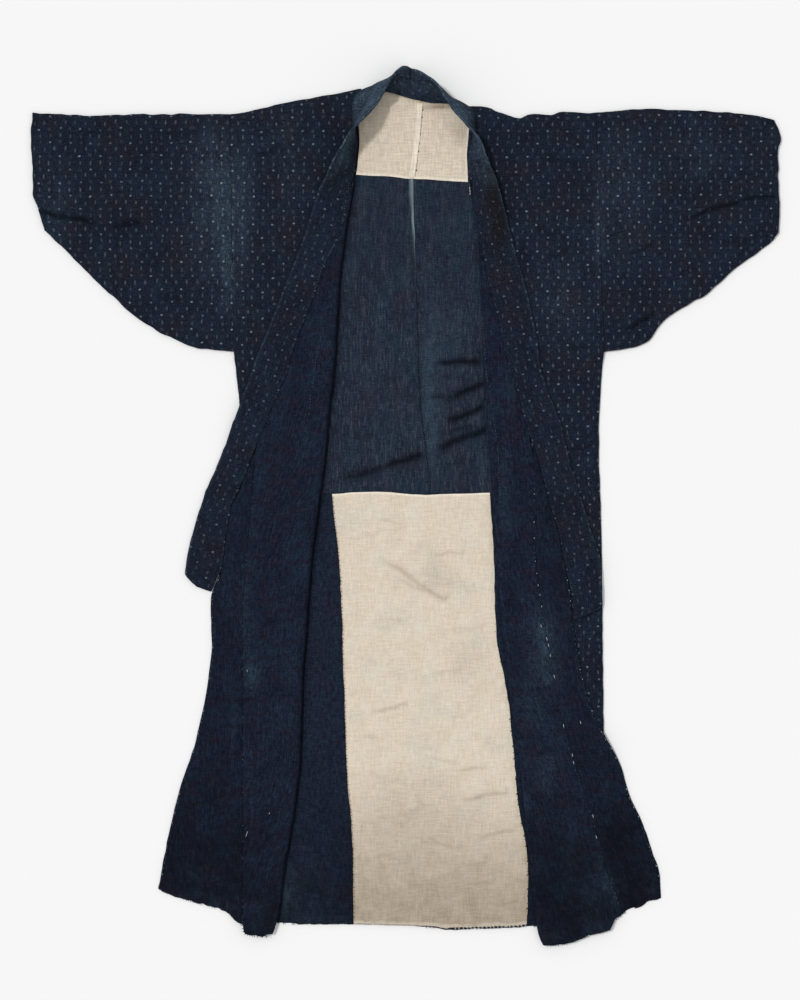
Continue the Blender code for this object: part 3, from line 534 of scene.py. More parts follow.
def cut_area(flat):
    """Area of a flat cut in square metres, and its width and length in metres."""
    a, b, c, d = flat[:-1, :-1], flat[1:, :-1], flat[1:, 1:], flat[:-1, 1:]
    cross = (c - a)[..., 0] * (d - b)[..., 1] - (c - a)[..., 1] * (d - b)[..., 0]
    size = flat.reshape(-1, 2).max(axis=0) - flat.reshape(-1, 2).min(axis=0)
    return abs(cross.sum()) / 2 * MM * MM, float(size[0] * MM), float(size[1] * MM)


def declare(piece, node, flat):
    """Hangs a sheet of cloth on the root, hides the solid that it stands for and prints how it was cut."""
    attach(piece, "root")
    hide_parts(node)
    area, width, length = cut_area(flat)
    print(f"CUT {piece.name} {width:.3f} x {length:.3f} area {area:.4f}")


# Materials

class Value:
    """A socket of a node tree that can be used in sums: a + b, 1 - a, a * 2, a ** 3."""

    def __init__(self, cloth, socket):
        self.cloth, self.socket = cloth, socket

    def math(self, operation, *others):
        return self.cloth.node("ShaderNodeMath", {"operation": operation}, (self, *others))

    def __add__(self, other):
        return self.math("ADD", other)

    def __sub__(self, other):
        return self.math("SUBTRACT", other)

    def __mul__(self, other):
        return self.math("MULTIPLY", other)

    def __truediv__(self, other):
        return self.math("DIVIDE", other)

    def __pow__(self, other):
        return self.math("POWER", other)

    def __rsub__(self, other):
        return self.cloth.node("ShaderNodeMath", {"operation": "SUBTRACT"}, (other, self))

    __radd__ = __add__
    __rmul__ = __mul__

    def beside(self, output):
        """Another output of the same node."""
        return Value(self.cloth, self.socket.node.outputs[output])

    def clamped(self):
        return self.cloth.node("ShaderNodeClamp", {}, (self, 0.0, 1.0))

    def between(self, low, high):
        """0 below low and 1 above high, with a soft step between them."""
        return self.cloth.node("ShaderNodeMapRange", {"interpolation_type": "SMOOTHSTEP"}, (self, low, high, 0.0, 1.0))


class Cloth:
    """A cloth material and the nodes that colour it."""

    def __init__(self, name):
        self.material = bpy.data.materials.new(name)
        self.material.use_nodes = True
        self.tree = self.material.node_tree
        self.shader = self.tree.nodes["Principled BSDF"]

    def node(self, kind, settings, values, output=0):
        """Adds a node: its type, its settings, then the values or links of its sockets by place or by name."""
        made = self.tree.nodes.new(kind)
        for key, setting in settings.items():
            setattr(made, key, setting)
        pairs = values.items() if isinstance(values, dict) else enumerate(values)
        for key, value in pairs:
            self.join(value, made.inputs[key])
        return Value(self, made.outputs[output])

    def join(self, value, socket):
        if isinstance(value, Value):
            self.tree.links.new(value.socket, socket)
        elif socket.type == "RGBA":
            socket.default_value = (*value, 1)
        else:
            socket.default_value = value

    def mix(self, share, first, second, blend="MIX"):
        """A colour between two colours."""
        return self.node("ShaderNodeMix", {"data_type": "RGBA", "blend_type": blend, "clamp_factor": True},
                         {0: share, 6: first, 7: second}, 2)

    def split(self, vector):
        """The first two parts of a vector."""
        first = self.node("ShaderNodeSeparateXYZ", {}, (vector,))
        return first, first.beside(1)

    def cut(self):
        """The place in the flat cut in metres: across and along the cloth."""
        return self.split(self.node("ShaderNodeUVMap", {"uv_map": "cut"}, ()))

    def mark(self, name):
        """A value that the mesh carries, such as how faded a place is."""
        return self.node("ShaderNodeAttribute", {"attribute_name": name}, (), 2)

    def at(self, x, y, z=0.0):
        return self.node("ShaderNodeCombineXYZ", {}, (x, y, z))

    def noise(self, x, y, across, along, detail, rough, seed):
        """Noise from 0 to 1 whose cells have these sizes in metres."""
        place_at = self.at(x / across, y / along, seed)
        return self.node("ShaderNodeTexNoise", {"noise_dimensions": "3D"},
                         {"Vector": place_at, "Scale": 1.0, "Detail": detail, "Roughness": rough})

    def finish(self, color, roughness, height, distance):
        """Sets the cloth's colour, its dull finish and the relief of its threads."""
        self.join(color, self.shader.inputs["Base Color"])
        self.join(roughness, self.shader.inputs["Roughness"])
        self.shader.inputs["Specular IOR Level"].default_value = 0.07
        bump = self.node("ShaderNodeBump", {}, {"Strength": 1.0, "Distance": distance, "Height": height})
        self.join(bump, self.shader.inputs["Normal"])
        return self.material


# The pieces of the jacket

def fine_rows(low, high, step):
    """Heights of fine rows from the top down, with two more close to each end."""
    count = max(int((high - low) / step), 2)
    rows = np.linspace(high - EDGE_SECOND, low + EDGE_SECOND, count)
    return np.concatenate([[high, high - EDGE_FIRST], rows, [low + EDGE_FIRST, low]])


def back_grid(hand, inset, below_top, above_hem, step):
    """Points of one half of the back, or of its lining further in."""
    def edge(y):
        return side(y, hand) - outward[hand] * (inset + np.where(y > ARMPIT, GAP / 2, 0))

    def middle(y):
        return centre(y) + outward[hand] * GAP / 2

    start, end = (edge, middle) if hand == "left" else (middle, edge)
    station = fine_rows(HEM_REF, TOP_REF, step)
    columns = []
    for share in spread(BACK_HALF, int(BACK_HALF / step)):
        columns.append(place(station, lambda y: start(y) * (1 - share) + end(y) * share,
                             lambda x: back_top(x) - below_top, lambda x: back_hem(x) + above_hem))
    grid = np.array(columns)
    return grid[:, 0].T, grid[:, 1].T


def edge_distance(points):
    """Distance of each point of a grid from the grid's nearest edge, along its rows and columns."""
    across = run_length(points)
    down = run_length(points.transpose(1, 0, 2)).T
    return np.minimum(np.minimum(across, across[:, -1:] - across), np.minimum(down, down[-1:] - down))


def with_height(x, y, z):
    return np.stack([x, y, np.broadcast_to(z, x.shape)], axis=2)


def front_grids(hand, step):
    """A front and its lining in fine rows: points, flat cuts, and how far round the fold each point lies."""
    way = -outward[hand]
    station = fine_rows(HEM_REF, TOP_REF, step)
    radius = fold_radius(station, hand)
    angle = np.maximum(curl(station), FLAT_TURN)
    bend = math.pi * radius / angle
    lower = np.linspace(0, 1, int(LOWER_PLY / step))[1:]
    loop = np.linspace(0, 1, FOLD_FACES + 1)[1:]
    upper = np.linspace(0, 1, int(TURNED_PLY / step))[1:]

    def start_x(y):
        return side(y, hand) + way * np.where(y > ARMPIT, GAP / 2, 0)

    def lower_x(y, near, share):
        start = start_x(y)
        width = way * (loop_start(y, station, hand) - start)
        return start + way * (near + (width - near) * share)

    shell_columns = []
    near_edge = [(near, 0) for near in (0, EDGE_FIRST, EDGE_SECOND, 3.5, 6)]
    for near, share in near_edge + [(SIDE_DIP, s) for s in (0, *lower)]:
        x, y = place(station, lambda at: lower_x(at, near, share), shoulder[hand], lower_hem[hand])
        dip = ease((ARMPIT - y) / DIP_LENGTH) * (1 - ease(way * (x - start_x(y)) / SIDE_DIP))
        shell_columns.append((x, y, Z_FRONT - dip * DIP_DEPTH))
    x0, y0, z0 = shell_columns[-1]
    lining_columns = []
    for share in np.linspace(0, 1, LINING_COLUMNS):
        x, y = place(station, lambda at: lower_x(at, FRONT_LINING_INSET, share),
                     lambda at: shoulder[hand](at) - LINING_BELOW_SHOULDER, lower_hem[hand])
        lining_columns.append((x, y, 0 * x + z0 - LINING_OFFSET))
    lining_columns[-1] = (x0, lining_columns[-1][1], z0 - LINING_OFFSET)
    lining_y = lining_columns[-1][1]
    outer_bend = bend + LINING_OFFSET
    for share in loop:
        turn = angle * share
        shell_columns.append((x0 + way * bend * np.sin(turn), y0, z0 + bend * (1 - np.cos(turn))))
        lining_columns.append((x0 + way * outer_bend * np.sin(turn), lining_y,
                               z0 + bend - outer_bend * np.cos(turn)))
    shell_end, lining_end = shell_columns[-1], lining_columns[-1]
    edge = front_edge(x0, station, hand) + way * GAP / 2
    width = way * (x0 - edge)
    down = hem_share(station)
    flat_strip = station >= CURL_END
    shell_before = len(shell_columns) - len(loop)
    for number, share in enumerate(upper):
        run = width * share
        x = x0 - way * run
        y = station + (turned_hem[hand](x) - HEM_REF) * down
        y = y + (y0 - y) * (1 - ease(share * 3))
        lift = (2 * radius - SHELL - PLY_GAP) * np.exp(-((run / FOLD_LOOP_REACH) ** 2))
        z = on_front(x, y, hand) + SHELL / 2 + lift
        strip = FLANGE * share
        side_x, side_z = way * np.cos(angle) * strip, np.sin(angle) * strip
        if number % 2 or number == len(upper) - 1:
            shell_columns.append((np.where(flat_strip, shell_end[0] + side_x, x), np.where(flat_strip, y0, y),
                                  np.where(flat_strip, shell_end[2] + side_z, z)))
        lining_columns.append((np.where(flat_strip, lining_end[0] + side_x, x),
                               np.where(flat_strip, lining_y, y),
                               np.where(flat_strip, lining_end[2] + side_z, z + LINING_OFFSET)))
    grids = []
    for columns, before in ((shell_columns, shell_before), (lining_columns, LINING_COLUMNS)):
        points = stacked(columns)
        flat = np.stack([points[:, :1, 0] + way * run_length(points), points[:, :, 1]], axis=2)
        round_share = np.clip((np.arange(len(columns)) - before + 1) / len(loop), 0, 1)
        grids.append((points, flat, np.broadcast_to(round_share, points.shape[:2])))
    return grids


def over_shoulder(points, flat, marks):
    """Adds the rows that carry a front over the shoulder and a little way under the back."""
    reach = (Z_FRONT - Z_BACK) / 2
    crown = points[0].copy()
    crown[:, 1] -= SHELL / 2 + reach
    rows, cuts = [], []
    for turn in np.linspace(0, math.pi, FOLD_FACES + 1):
        row = crown.copy()
        row[:, 1] += reach * math.sin(turn)
        row[:, 2] = row[:, 2] - reach * (1 - math.cos(turn))
        rows.append(row)
        cuts.append(flat[0] + [0, reach * turn])
    for run in np.linspace(0, SHOULDER_LAP, 3)[1:]:
        row = rows[FOLD_FACES].copy()
        row[:, 1] -= run
        rows.append(row)
        cuts.append(flat[0] + [0, reach * math.pi + run])
    # Rows above the crown's start are replaced by the turn
    keep = points[:, :, 1].mean(axis=1) < crown[:, 1].mean() - 0.5
    count = len(rows)
    points = np.concatenate([np.array(rows[::-1]), points[keep]])
    flat = np.concatenate([np.array(cuts[::-1]), flat[keep]])
    marks = {key: np.concatenate([np.broadcast_to(value[:1], (count, value.shape[1])), value[keep]])
             for key, value in marks.items()}
    return points, flat, marks


def overlap_grid(hand, step, inset=0.0, above_hem=0.0):
    """Points of an overlap's outer cloth, sewn to the turned front's edge, or of its lining further in."""
    way = outward[hand]
    table = OVERLAP_LEFT if hand == "left" else OVERLAP_RIGHT
    station = fine_rows(HEM_REF, TIP_START, step)
    down = hem_share(station)
    start = turned[hand](station) + way * GAP / 2
    seam_drop = turned_hem[hand](start) - turned_hem[hand](start[-1])

    def height(share, width):
        hem = overlap_hem[hand](start[-1] + way * width[-1] * share) + above_hem
        return station + (hem + seam_drop * (1 - share) - HEM_REF) * down

    width = way * (overlap[hand](station) - start)
    for _ in range(8):
        width = np.maximum(way * (overlap[hand](np.maximum(height(1.0, width), table[-1][0])) - start) - inset, 0.4)
    columns = []
    for share in spread(OVERLAP_WIDTH, int(OVERLAP_PLY / step)):
        x = start + way * width * share
        y = height(share, width)
        columns.append((x, y, on_front(x, y, hand) + SHELL / 2))
    return stacked(columns)


def sleeve_grid(hand, step):
    """A sleeve as a ring of columns: its back ply upwards, the fold at the top, its front ply downwards."""
    share = np.linspace(0, 1, int(SLEEVE_DEEP / step))
    grid, cuts = [], []
    for r in np.concatenate([[0, 0.0012], np.linspace(0.005, 1, int(SLEEVE_ALONG / step))]):
        y = 441 + 190 * share
        for _ in range(12):
            seam_x = armhole[hand](np.maximum(y, ARMPIT)) + outward[hand] * GAP / 2
            x = cuff[hand](y) * (1 - r) + seam_x * r
            low, high = underarm[hand](x), shoulder[hand](x)
            y = low + (high - low) * share
        front_z = SLEEVE_FRONT + (Z_FRONT - SLEEVE_FRONT) * ease(r)
        radius = (front_z - Z_BACK) / 2
        inset = radius + SHELL / 2
        y = low + inset + (high - low - 2 * inset) * share
        turns = np.linspace(0, math.pi, FOLD_FACES + 1)[1:-1]
        top = np.stack([x[-1] + 0 * turns, y[-1] + radius * np.sin(turns), Z_BACK + radius * (1 - np.cos(turns))], 1)
        end = np.stack([x[0] + 0 * turns, y[0] - radius * np.sin(turns), Z_BACK + radius * (1 + np.cos(turns))], 1)
        under = np.stack([x, y, Z_BACK + 0 * x], 1)
        over = np.stack([x, y, front_z + 0 * x], 1)[::-1]
        ring = np.concatenate([under, top, over, end])
        grid.append(ring)
        run = run_along(ring)
        crest = len(under) + len(turns) // 2
        along = y[-1] - (run - run[crest])
        along = np.append(along, along[-1] - np.linalg.norm(ring[0] - ring[-1]))
        cuts.append(np.stack([np.append(ring[:, 0], ring[0, 0]), along], axis=1))
    return np.array(grid), np.array(cuts)


def band_foot(station, hand):
    """Where the band's seam runs on a front: along the turned ply, and below the tip along the overlap."""
    x0 = loop_start(station, station, hand)
    angle = np.maximum(curl(station), FLAT_TURN)
    seam_x = front_edge(x0, station, hand)
    bend = math.pi * fold_radius(station, hand) / angle
    tip = x0 - outward[hand] * (bend * np.sin(angle) + FLANGE * np.cos(angle))
    curled = outward[hand] * (np.maximum(outward[hand] * tip, outward[hand] * x0) + SHELL / 2)
    seam_x = np.where(station > CURL_END, curled, seam_x)
    seam_x = np.where(station <= TIP, overlap[hand](station), seam_x)
    return seam_x + outward[hand] * BAND_SIDE_GAP


def band_side(hand):
    """Sections of the band on a front, from the overlap up to the curl."""
    station = np.array(BAND_STATIONS, float)
    edge_y = station + band_shift[hand](station)
    rise = ease((station - BAND_RISE_START) / (BAND_RISE_END - BAND_RISE_START))
    level = np.full_like(station, Z_ON_FRONT)
    columns = (band_foot(station, hand), station, band_edge[hand](edge_y), edge_y, BAND_BOW * rise, level, rise)
    return [list(row) for row in zip(*columns)]


def band_sections(step):
    """Fine sections of the whole band: foot, edge, bow, floor and how far it is raised."""
    rough = [[*row, 0] for row in BAND_END_LEFT] + band_side("left")
    rough += [[*row, 1] for row in BAND_NECK]
    rough += band_side("right")[::-1] + [[*row, 0] for row in BAND_END_RIGHT]
    rough = np.array(rough, float)
    run = run_along((rough[:, :2] + rough[:, 2:4]) / 2)
    inner = np.linspace(EDGE_SECOND, run[-1] - EDGE_SECOND, int(run[-1] / step))
    at = np.concatenate([[0, 0.5], inner, [run[-1] - 0.5, run[-1]]])
    return np.stack([smooth(list(zip(run, rough[:, k])))(at) for k in range(rough.shape[1])], axis=1), at


# What shows of each cloth, and marks on it

patch_left = smooth(PATCH_LEFT)
patch_right = smooth(PATCH_RIGHT)


def between_fronts(x, y, margin):
    """1 in the opening between the two fronts' folds, 0 under them."""
    return ease((x - fold["left"](y) - margin) / 5) * ease((fold["right"](y) - x - margin) / 4)


def bare_back(x, y):
    """1 where the back's lining shows between the patches, 0 under them."""
    above = ease((y - PIECED_TOP - 3) / 4) * ease((YOKE_FOOT - y) / 5)
    beside = ease((patch_left(y) - 1.5 - x) / 4) + ease((x - patch_right(y) - 1.5) / 4)
    return between_fronts(x, y, 2) * np.maximum(above, np.minimum(beside, 1) * ease((15 - y) / 4))


def bare_front(x, y, hand):
    """1 where a front's lower ply shows outside the band and what is folded back on it."""
    cover = outward[hand] * np.where(y > BAND_FOOT_Y, band_edge[hand](y), overlap[hand](y))
    seam = ease(outward[hand] * (side(y, hand) - x) / 7) * ease((shoulder[hand](x) - y) / 12)
    return ease((outward[hand] * x - cover - 3) / 6) * seam


def spots(x, y, table):
    """From 0 to 1: soft spots, columns x, y, reach across, reach along, amount."""
    amount = np.zeros_like(x)
    for at_x, at_y, across, along, strength in table:
        amount += strength * np.exp(-(((x - at_x) / across) ** 2) - ((y - at_y) / along) ** 2)
    return np.clip(amount, 0, 1)


def hem_darkening(x, y):
    """From 0 to 1: how much darker the cloth is towards its hem, in uneven patches."""
    patchy = 0.8 + 0.4 * value_noise(x, y, 38, 81) + 0.34 * value_noise(x, y, 7.5, 82)
    return 0.62 * ease((-330 - y) / 330) * patchy


# Columns x, y, reach across, reach along, amount: faded or stained places
FADED_SHELL = ((-288, 515, 28, 60, 0.42), (-304, 455, 42, 105, 0.46), (-284, 385, 13, 80, 0.6),
               (-318, 560, 30, 50, 0.25), (-258, 470, 16, 90, 0.35), (309, 440, 7, 70, 0.6),
               (-190, 560, 26, 80, 0.2), (350, 500, 40, 90, 0.3), (250, 330, 30, 70, 0.3), (470, 560, 60, 40, 0.2),
               (-560, 480, 40, 60, 0.25))
FADED_LINING = ((-244, -270, 9, 30, 0.55), (-258, -160, 12, 60, 0.2), (220, -215, 20, 45, 0.5),
                (236, -282, 15, 9, 0.5), (170, 210, 6, 70, 0.2), (222, -430, 26, 30, 0.4), (262, -560, 16, 60, 0.35),
                (330, -600, 22, 14, 0.3), (-165, -630, 20, 20, 0.3), (190, -470, 14, 22, 0.3),
                (158, 20, 7, 90, 0.3), (-340, -628, 40, 9, 0.55), (-300, -645, 20, 9, 0.6), (296, -640, 20, 30, 0.4),
                (300, -668, 40, 8, 0.3), (392, -600, 14, 26, 0.3), (312, -560, 6, 24, 0.5),
                (324, -598, 8, 24, 0.6), (336, -634, 9, 18, 0.6), (-276, -352, 5, 24, 0.4),
                (-246, -487, 2, 34, 0.5), (-330, -590, 24, 12, 0.4), (-236, -655, 10, 22, 0.4),
                (236, -690, 14, 8, 0.4), (200, -330, 16, 40, 0.25),
                (225, -240, 30, 80, 0.28))
FADED_BACK_LINING = ((40, 195, 14, 95, 1.0), (40, 110, 10, 45, 0.9), (60, 270, 30, 60, 0.4),
                     (-193, -628, 15, 42, 1.0), (-160, -600, 26, 50, 0.3), (-150, -662, 50, 8, 0.4),
                     (-60, 200, 26, 40, 0.2), (140, -200, 6, 120, 0.3))
# Columns y, half width, amount: the pale streak down the seam of the back's lining
STREAK = ((300, 0.3, 0.0), (390, 0.8, 0.2), (420, 1.1, 0.5), (455, 2.3, 0.85), (480, 2.8, 0.6), (510, 3.5, 0.7),
          (530, 3.9, 0.8))
STAINED_BAND = ((138, 505, 12, 36, 1.0), (150, 440, 12, 50, 0.9), (125, 560, 8, 24, 0.5))
STAINED_HEMP = ((60, -120, 22, 20, 0.2), (42, -85, 16, 24, 0.22), (10, -480, 80, 60, 0.2),
                (55, 637, 34, 4, 0.8), (88, 600, 14, 16, 0.35), (100, -250, 30, 40, 0.2))
# Columns x1, y1, x2, y2, height, width: creases; one with a minus width is steeper on its left side
CREASES_BACK_LINING = (
    (38, 233, 122, 233.5, 3.0, 7.5), (34, 176, 84, 176, 1.6, 7.0), (64, 174, 124, 198, 3.6, 8.0),
    (54, 133, 126, 162, 3.4, 8.0), (38, 90, 129, 127, 3.8, 9.0), (60, 116, 116, 132, 1.4, 5.0),
    (-108, 44, -36, 64, 1.8, 7.0), (-48, 60, 27, 88, 3.0, 8.0), (-92, 108, -52, 118, 0.5, 6.0),
    (30, 214, 100, 206, 0.6, 7.0), (44, 64, 118, 80, 0.7, 7.0))
CREASES_HEMP = (
    (-44, -74, 66, -152, 2.6, 7.0), (-20, -108, 40, -142, 1.4, 5.0), (40, -78, 96, -73, 1.6, 3.5),
    (-64, -330, 5, -316, 1.6, 4.0), (-62, -180, 8, -182, 0.7, 4.0), (78, -424, 130, -416, 1.5, 4.0),
    (82, -470, 165, -455, 1.9, 5.0), (30, -526, 88, -549, 1.5, 5.0), (79, -576, 130, -570, 1.2, 4.0),
    (92, -605, 145, -599, 1.3, 4.0), (-52, -20, 0, -26, 0.9, 4.0), (-30, -38, 4, -34, 0.8, 3.5),
    (-90, -52, -40, -40, 0.7, 5.0), (-70, -420, -10, -440, 0.8, 7.0), (-40, -500, 30, -480, 0.8, 7.0),
    (-60, -560, 0, -556, 0.8, 6.0), (20, -270, 90, -262, 0.7, 6.0), (-84, -240, -20, -252, 0.6, 6.0),
    (60, -200, 130, -190, 0.6, 6.0), (-84, -500, -40, -508, 0.7, 5.0), (100, -530, 180, -516, 1.2, 4.5),
    (-10, -610, 52, -604, 0.9, 4.5), (30, -400, 84, -408, 0.9, 5.0), (-70, -632, -20, -640, 0.7, 4.0),
    (110, -640, 176, -632, 0.9, 4.0), (-80, -366, -30, -372, 0.8, 4.5))
CREASES_LINING = {
    "left": ((-300, -316, -238, -306, 1.5, 3.5), (-314, -521, -262, -534, 1.5, 4.0),
             (-236, -150, -214, -190, 0.9, 4.0), (-200, -420, -184, -470, 0.8, 5.0),
             (-345, -560, -290, -572, 1.2, 4.0), (-262, -600, -222, -640, 0.8, 5.0)),
    "right": ((196, -292, 240, -289, 1.6, 3.5), (165, -328, 243, -324, 1.1, 4.5),
              (180, -438, 217, -473, 1.8, 4.0), (214, -499, 248, -538, 1.5, 4.0), (196, -398, 250, -386, 0.9, 4.5),
              (200, -612, 262, -622, 1.2, 4.5), (300, -590, 372, -570, 1.2, 5.0), (150, -150, 190, -160, 0.9, 4.5))}
CREASES_SLEEVE = {
    "left": ((-480, 451, -596, 474, 4.2, -5.0), (-476, 446, -420, 455, 3.2, 4.2),
             (-400, 340, -360, 330, 1.2, 5.0), (-520, 600, -470, 596, 0.9, 5.0), (-380, 590, -330, 600, 1.0, 6.0)),
    "right": ((440, 459, 534, 489, 2.4, 4.5), (528, 488, 594, 492, 2.6, -4.0), (344, 280, 399, 310, 2.2, 4.0),
              (420, 560, 470, 552, 1.0, 5.5), (350, 400, 395, 420, 1.2, 5.0), (500, 420, 548, 428, 1.2, 5.0))}
CREASES_FRONT = {
    "left": ((-262, 330, -225, 318, 1.2, 5.0), (-250, 560, -190, 575, 1.0, 7.0), (-200, 420, -160, 400, 1.0, 6.0)),
    "right": ((210, 560, 280, 548, 1.0, 7.0), (255, 250, 300, 262, 1.2, 5.0), (230, 90, 300, 98, 1.2, 5.0),
              (262, -20, 304, -14, 1.0, 5.0), (220, 400, 262, 410, 1.0, 6.0))}
CREASES_BAND = ((268, -66, 312, -61, 1.2, 3.0), (-137, 501, -84, 541, 1.3, 5.0),
                (-330, -60, -290, -68, 1.0, 3.5), (-250, 150, -215, 160, 0.9, 3.5), (215, 120, 245, 128, 0.8, 3.5))
# Columns x, y, reach across, reach along, amount: places painted with shade
SHADED_BAND = ((-84, 556, 7, 22, 0.75),)
SHADED_LINING = ((255, -610, 45, 60, 0.3),)


# Cloth materials

def lattice(cloth, u, v, pitch, period, shift_u, shift_v, half_width, half_height, seed):
    """Resist-dyed marks on a lattice in the cloth, each a little out of place and of its own strength."""
    column = u / pitch - (shift_u - 0.5)
    row = v / period - (shift_v - 0.5)
    column_cell, row_cell = column.math("FLOOR"), row.math("FLOOR")
    key = cloth.at(column_cell, row_cell, seed)
    strength = cloth.node("ShaderNodeTexWhiteNoise", {"noise_dimensions": "3D"}, {"Vector": key})
    off_x, off_y = (part - 0.5 for part in cloth.split(strength.beside(1)))
    across = (column - column_cell - 0.5) * (pitch / half_width) + off_x * 1.3
    along = (row - row_cell - 0.5) * (period / half_height) + off_y
    reach = across * across + along * along
    return (1 - reach.between(0.2, 1.6)) * (strength * 0.68 + 0.44)


# Columns: strength, marks in a pitch, half width, half height, then shift across, shift along and seed of two
# lattices: bright dots, upright dashes between them, and faint dots
KASURI = ((1.0, 1, 0.0019, 0.0015, ((0.0, 0.0, 1.0), (0.5, 0.5, 2.0))),
          (0.38, 2, 0.0014, 0.0033, ((0.5, 0.25, 3.0), (0.0, 0.75, 4.0))),
          (0.14, 1, 0.0028, 0.0028, ((0.5, 0.0, 5.0), (0.0, 0.5, 8.0))))


def kasuri(cloth, u, v, pitch, period):
    """The woven pattern: bright dots in staggered rows, and fainter upright dashes between the rows."""
    wander = (cloth.noise(u, v, 0.045, 0.08, 2.0, 0.5, 6.0) - 0.5) * 0.010
    u, v = u + wander, v + wander
    kinds = []
    for strength, number, half_width, half_height, shifts in KASURI:
        first, second = (lattice(cloth, u, v, pitch / number, period, across, along, half_width, half_height, seed)
                         for across, along, seed in shifts)
        kinds.append((first + second) * strength)
    threads = cloth.noise(u, v, 0.0009, 0.003, 1.0, 0.5, 7.0).between(0.25, 0.6) * 0.6 + 0.4
    return (kinds[0] + kinds[1] + kinds[2]) * threads


def weave(cloth, u, v, warp_share, weft_share, grain_share, seed, length=0.015, width=0.0019):
    """Brightness of a plain weave with uneven threads both ways, about 1."""
    warp = cloth.noise(u, v, width, length, 2.0, 0.7, seed)
    weft = cloth.noise(u, v, length, width, 2.0, 0.7, seed + 1)
    grain = cloth.noise(u, v, 0.0016, 0.0016, 1.0, 0.6, seed + 2)
    return 1 + (warp - 0.5) * warp_share + (weft - 0.5) * weft_share + (grain - 0.5) * grain_share


def speckled(cloth, u, v, amount, seed):
    """A soft amount of fading broken up into threads and blotches."""
    threads = cloth.noise(u, v, 0.0018, 0.0045, 2.0, 0.7, seed)
    clouds = cloth.noise(u, v, 0.014, 0.03, 3.0, 0.65, seed + 1)
    return (amount * (threads * 2.4 + clouds * 2.8 - 1.9)).clamped()


def mottled(cloth, u, v, share, seed):
    """Brightness of cloth that is unevenly worn in small patches, about 1."""
    return 1 + (cloth.noise(u, v, 0.0046, 0.0085, 2.0, 0.65, seed) - 0.5) * share


def threads_relief(cloth, u, v, pitch):
    """Height of a plain weave with uneven threads both ways."""
    warp = cloth.noise(u, v, pitch, pitch * 14, 2.0, 0.6, 11.0)
    weft = cloth.noise(u, v, pitch * 14, pitch, 2.0, 0.6, 12.0)
    return warp + weft


def dotted_indigo(colours, sizes, name="dotted_indigo_cloth", strength=1.0):
    """Dark indigo cotton with a small resist-dyed pattern of some strength."""
    cloth = Cloth(name)
    u, v = cloth.cut()
    fade, worn, stain, painted_shade = (cloth.mark(key) for key in ("fade", "worn", "stain", "painted_shade"))
    blotches = cloth.noise(u, v, 0.045, 0.06, 4.0, 0.6, 2.0)
    brown = cloth.noise(u, v, 0.055, 0.05, 4.0, 0.6, 5.0)
    streaks = cloth.noise(u, v, 0.0021, 0.04, 3.0, 0.7, 1.0)
    base = cloth.mix(blotches.between(0.38, 0.62), colours.indigo, colours.indigo_teal)
    base = cloth.mix(brown.between(0.46, 0.7), base, colours.indigo_brown)
    base = cloth.mix(stain, base, colours.indigo_stain)
    base = cloth.mix(streaks.between(0.5, 0.7) * 0.2, base, colours.indigo_faded)
    base = cloth.mix(speckled(cloth, u, v, fade, 61.0), base, colours.indigo_faded)
    base = cloth.mix(speckled(cloth, u, v, worn, 63.0), base, colours.indigo_worn)
    fibres = cloth.noise(u, v, 0.0017, 0.005, 1.0, 0.5, 9.0).between(0.58, 0.78)
    base = cloth.mix(fibres * (fade * 0.7 + worn * 0.5 + 0.14), base, colours.indigo_fibre)
    base = cloth.mix(1.0, base, weave(cloth, u, v, 1.35, 1.7, 3.3, 13.0), "MULTIPLY")
    marks = kasuri(cloth, u, v, sizes.dot_pitch, sizes.dot_period) * (fade * 0.7 + 0.8) * strength
    # Painted shade: the dots are dimmed and the colour darkened in creases, beside folds and in shaded spots
    marks = marks * (1 - painted_shade * 0.8) * (1 - stain * 0.5)
    color = cloth.mix(marks, base, colours.dot)
    color = cloth.mix(painted_shade * 0.85, color, colours.shade)
    return cloth.finish(color, 0.95, threads_relief(cloth, u, v, 0.0008), 0.0003)


def plain_indigo(colours):
    """The plain dark cloth of the front linings."""
    cloth = Cloth("plain_indigo_cloth")
    u, v = cloth.cut()
    fade, painted_shade = cloth.mark("fade"), cloth.mark("painted_shade")
    blotches = cloth.noise(u, v, 0.05, 0.07, 4.0, 0.6, 23.0)
    purple = cloth.noise(u, v, 0.035, 0.016, 4.0, 0.6, 24.0)
    streaks = cloth.noise(u, v, 0.0024, 0.06, 3.0, 0.7, 21.0)
    base = cloth.mix(blotches.between(0.38, 0.64), colours.lining, colours.lining_teal)
    base = cloth.mix(purple.between(0.46, 0.66), base, colours.lining_purple)
    base = cloth.mix(streaks.between(0.48, 0.7) * 0.7, base, colours.lining_light)
    base = cloth.mix(speckled(cloth, u, v, fade, 65.0), base, colours.indigo_faded)
    base = cloth.mix(1.0, base, weave(cloth, u, v, 1.8, 1.3, 2.0, 25.0) * mottled(cloth, u, v, 1.9, 27.0),
                     "MULTIPLY")
    # Painted shade in creases, beside folds and in shaded spots; the cloth is also darker towards the hem
    base = cloth.mix(painted_shade * 0.8, base, colours.shade)
    return cloth.finish(base, 0.95, threads_relief(cloth, u, v, 0.0008), 0.0003)


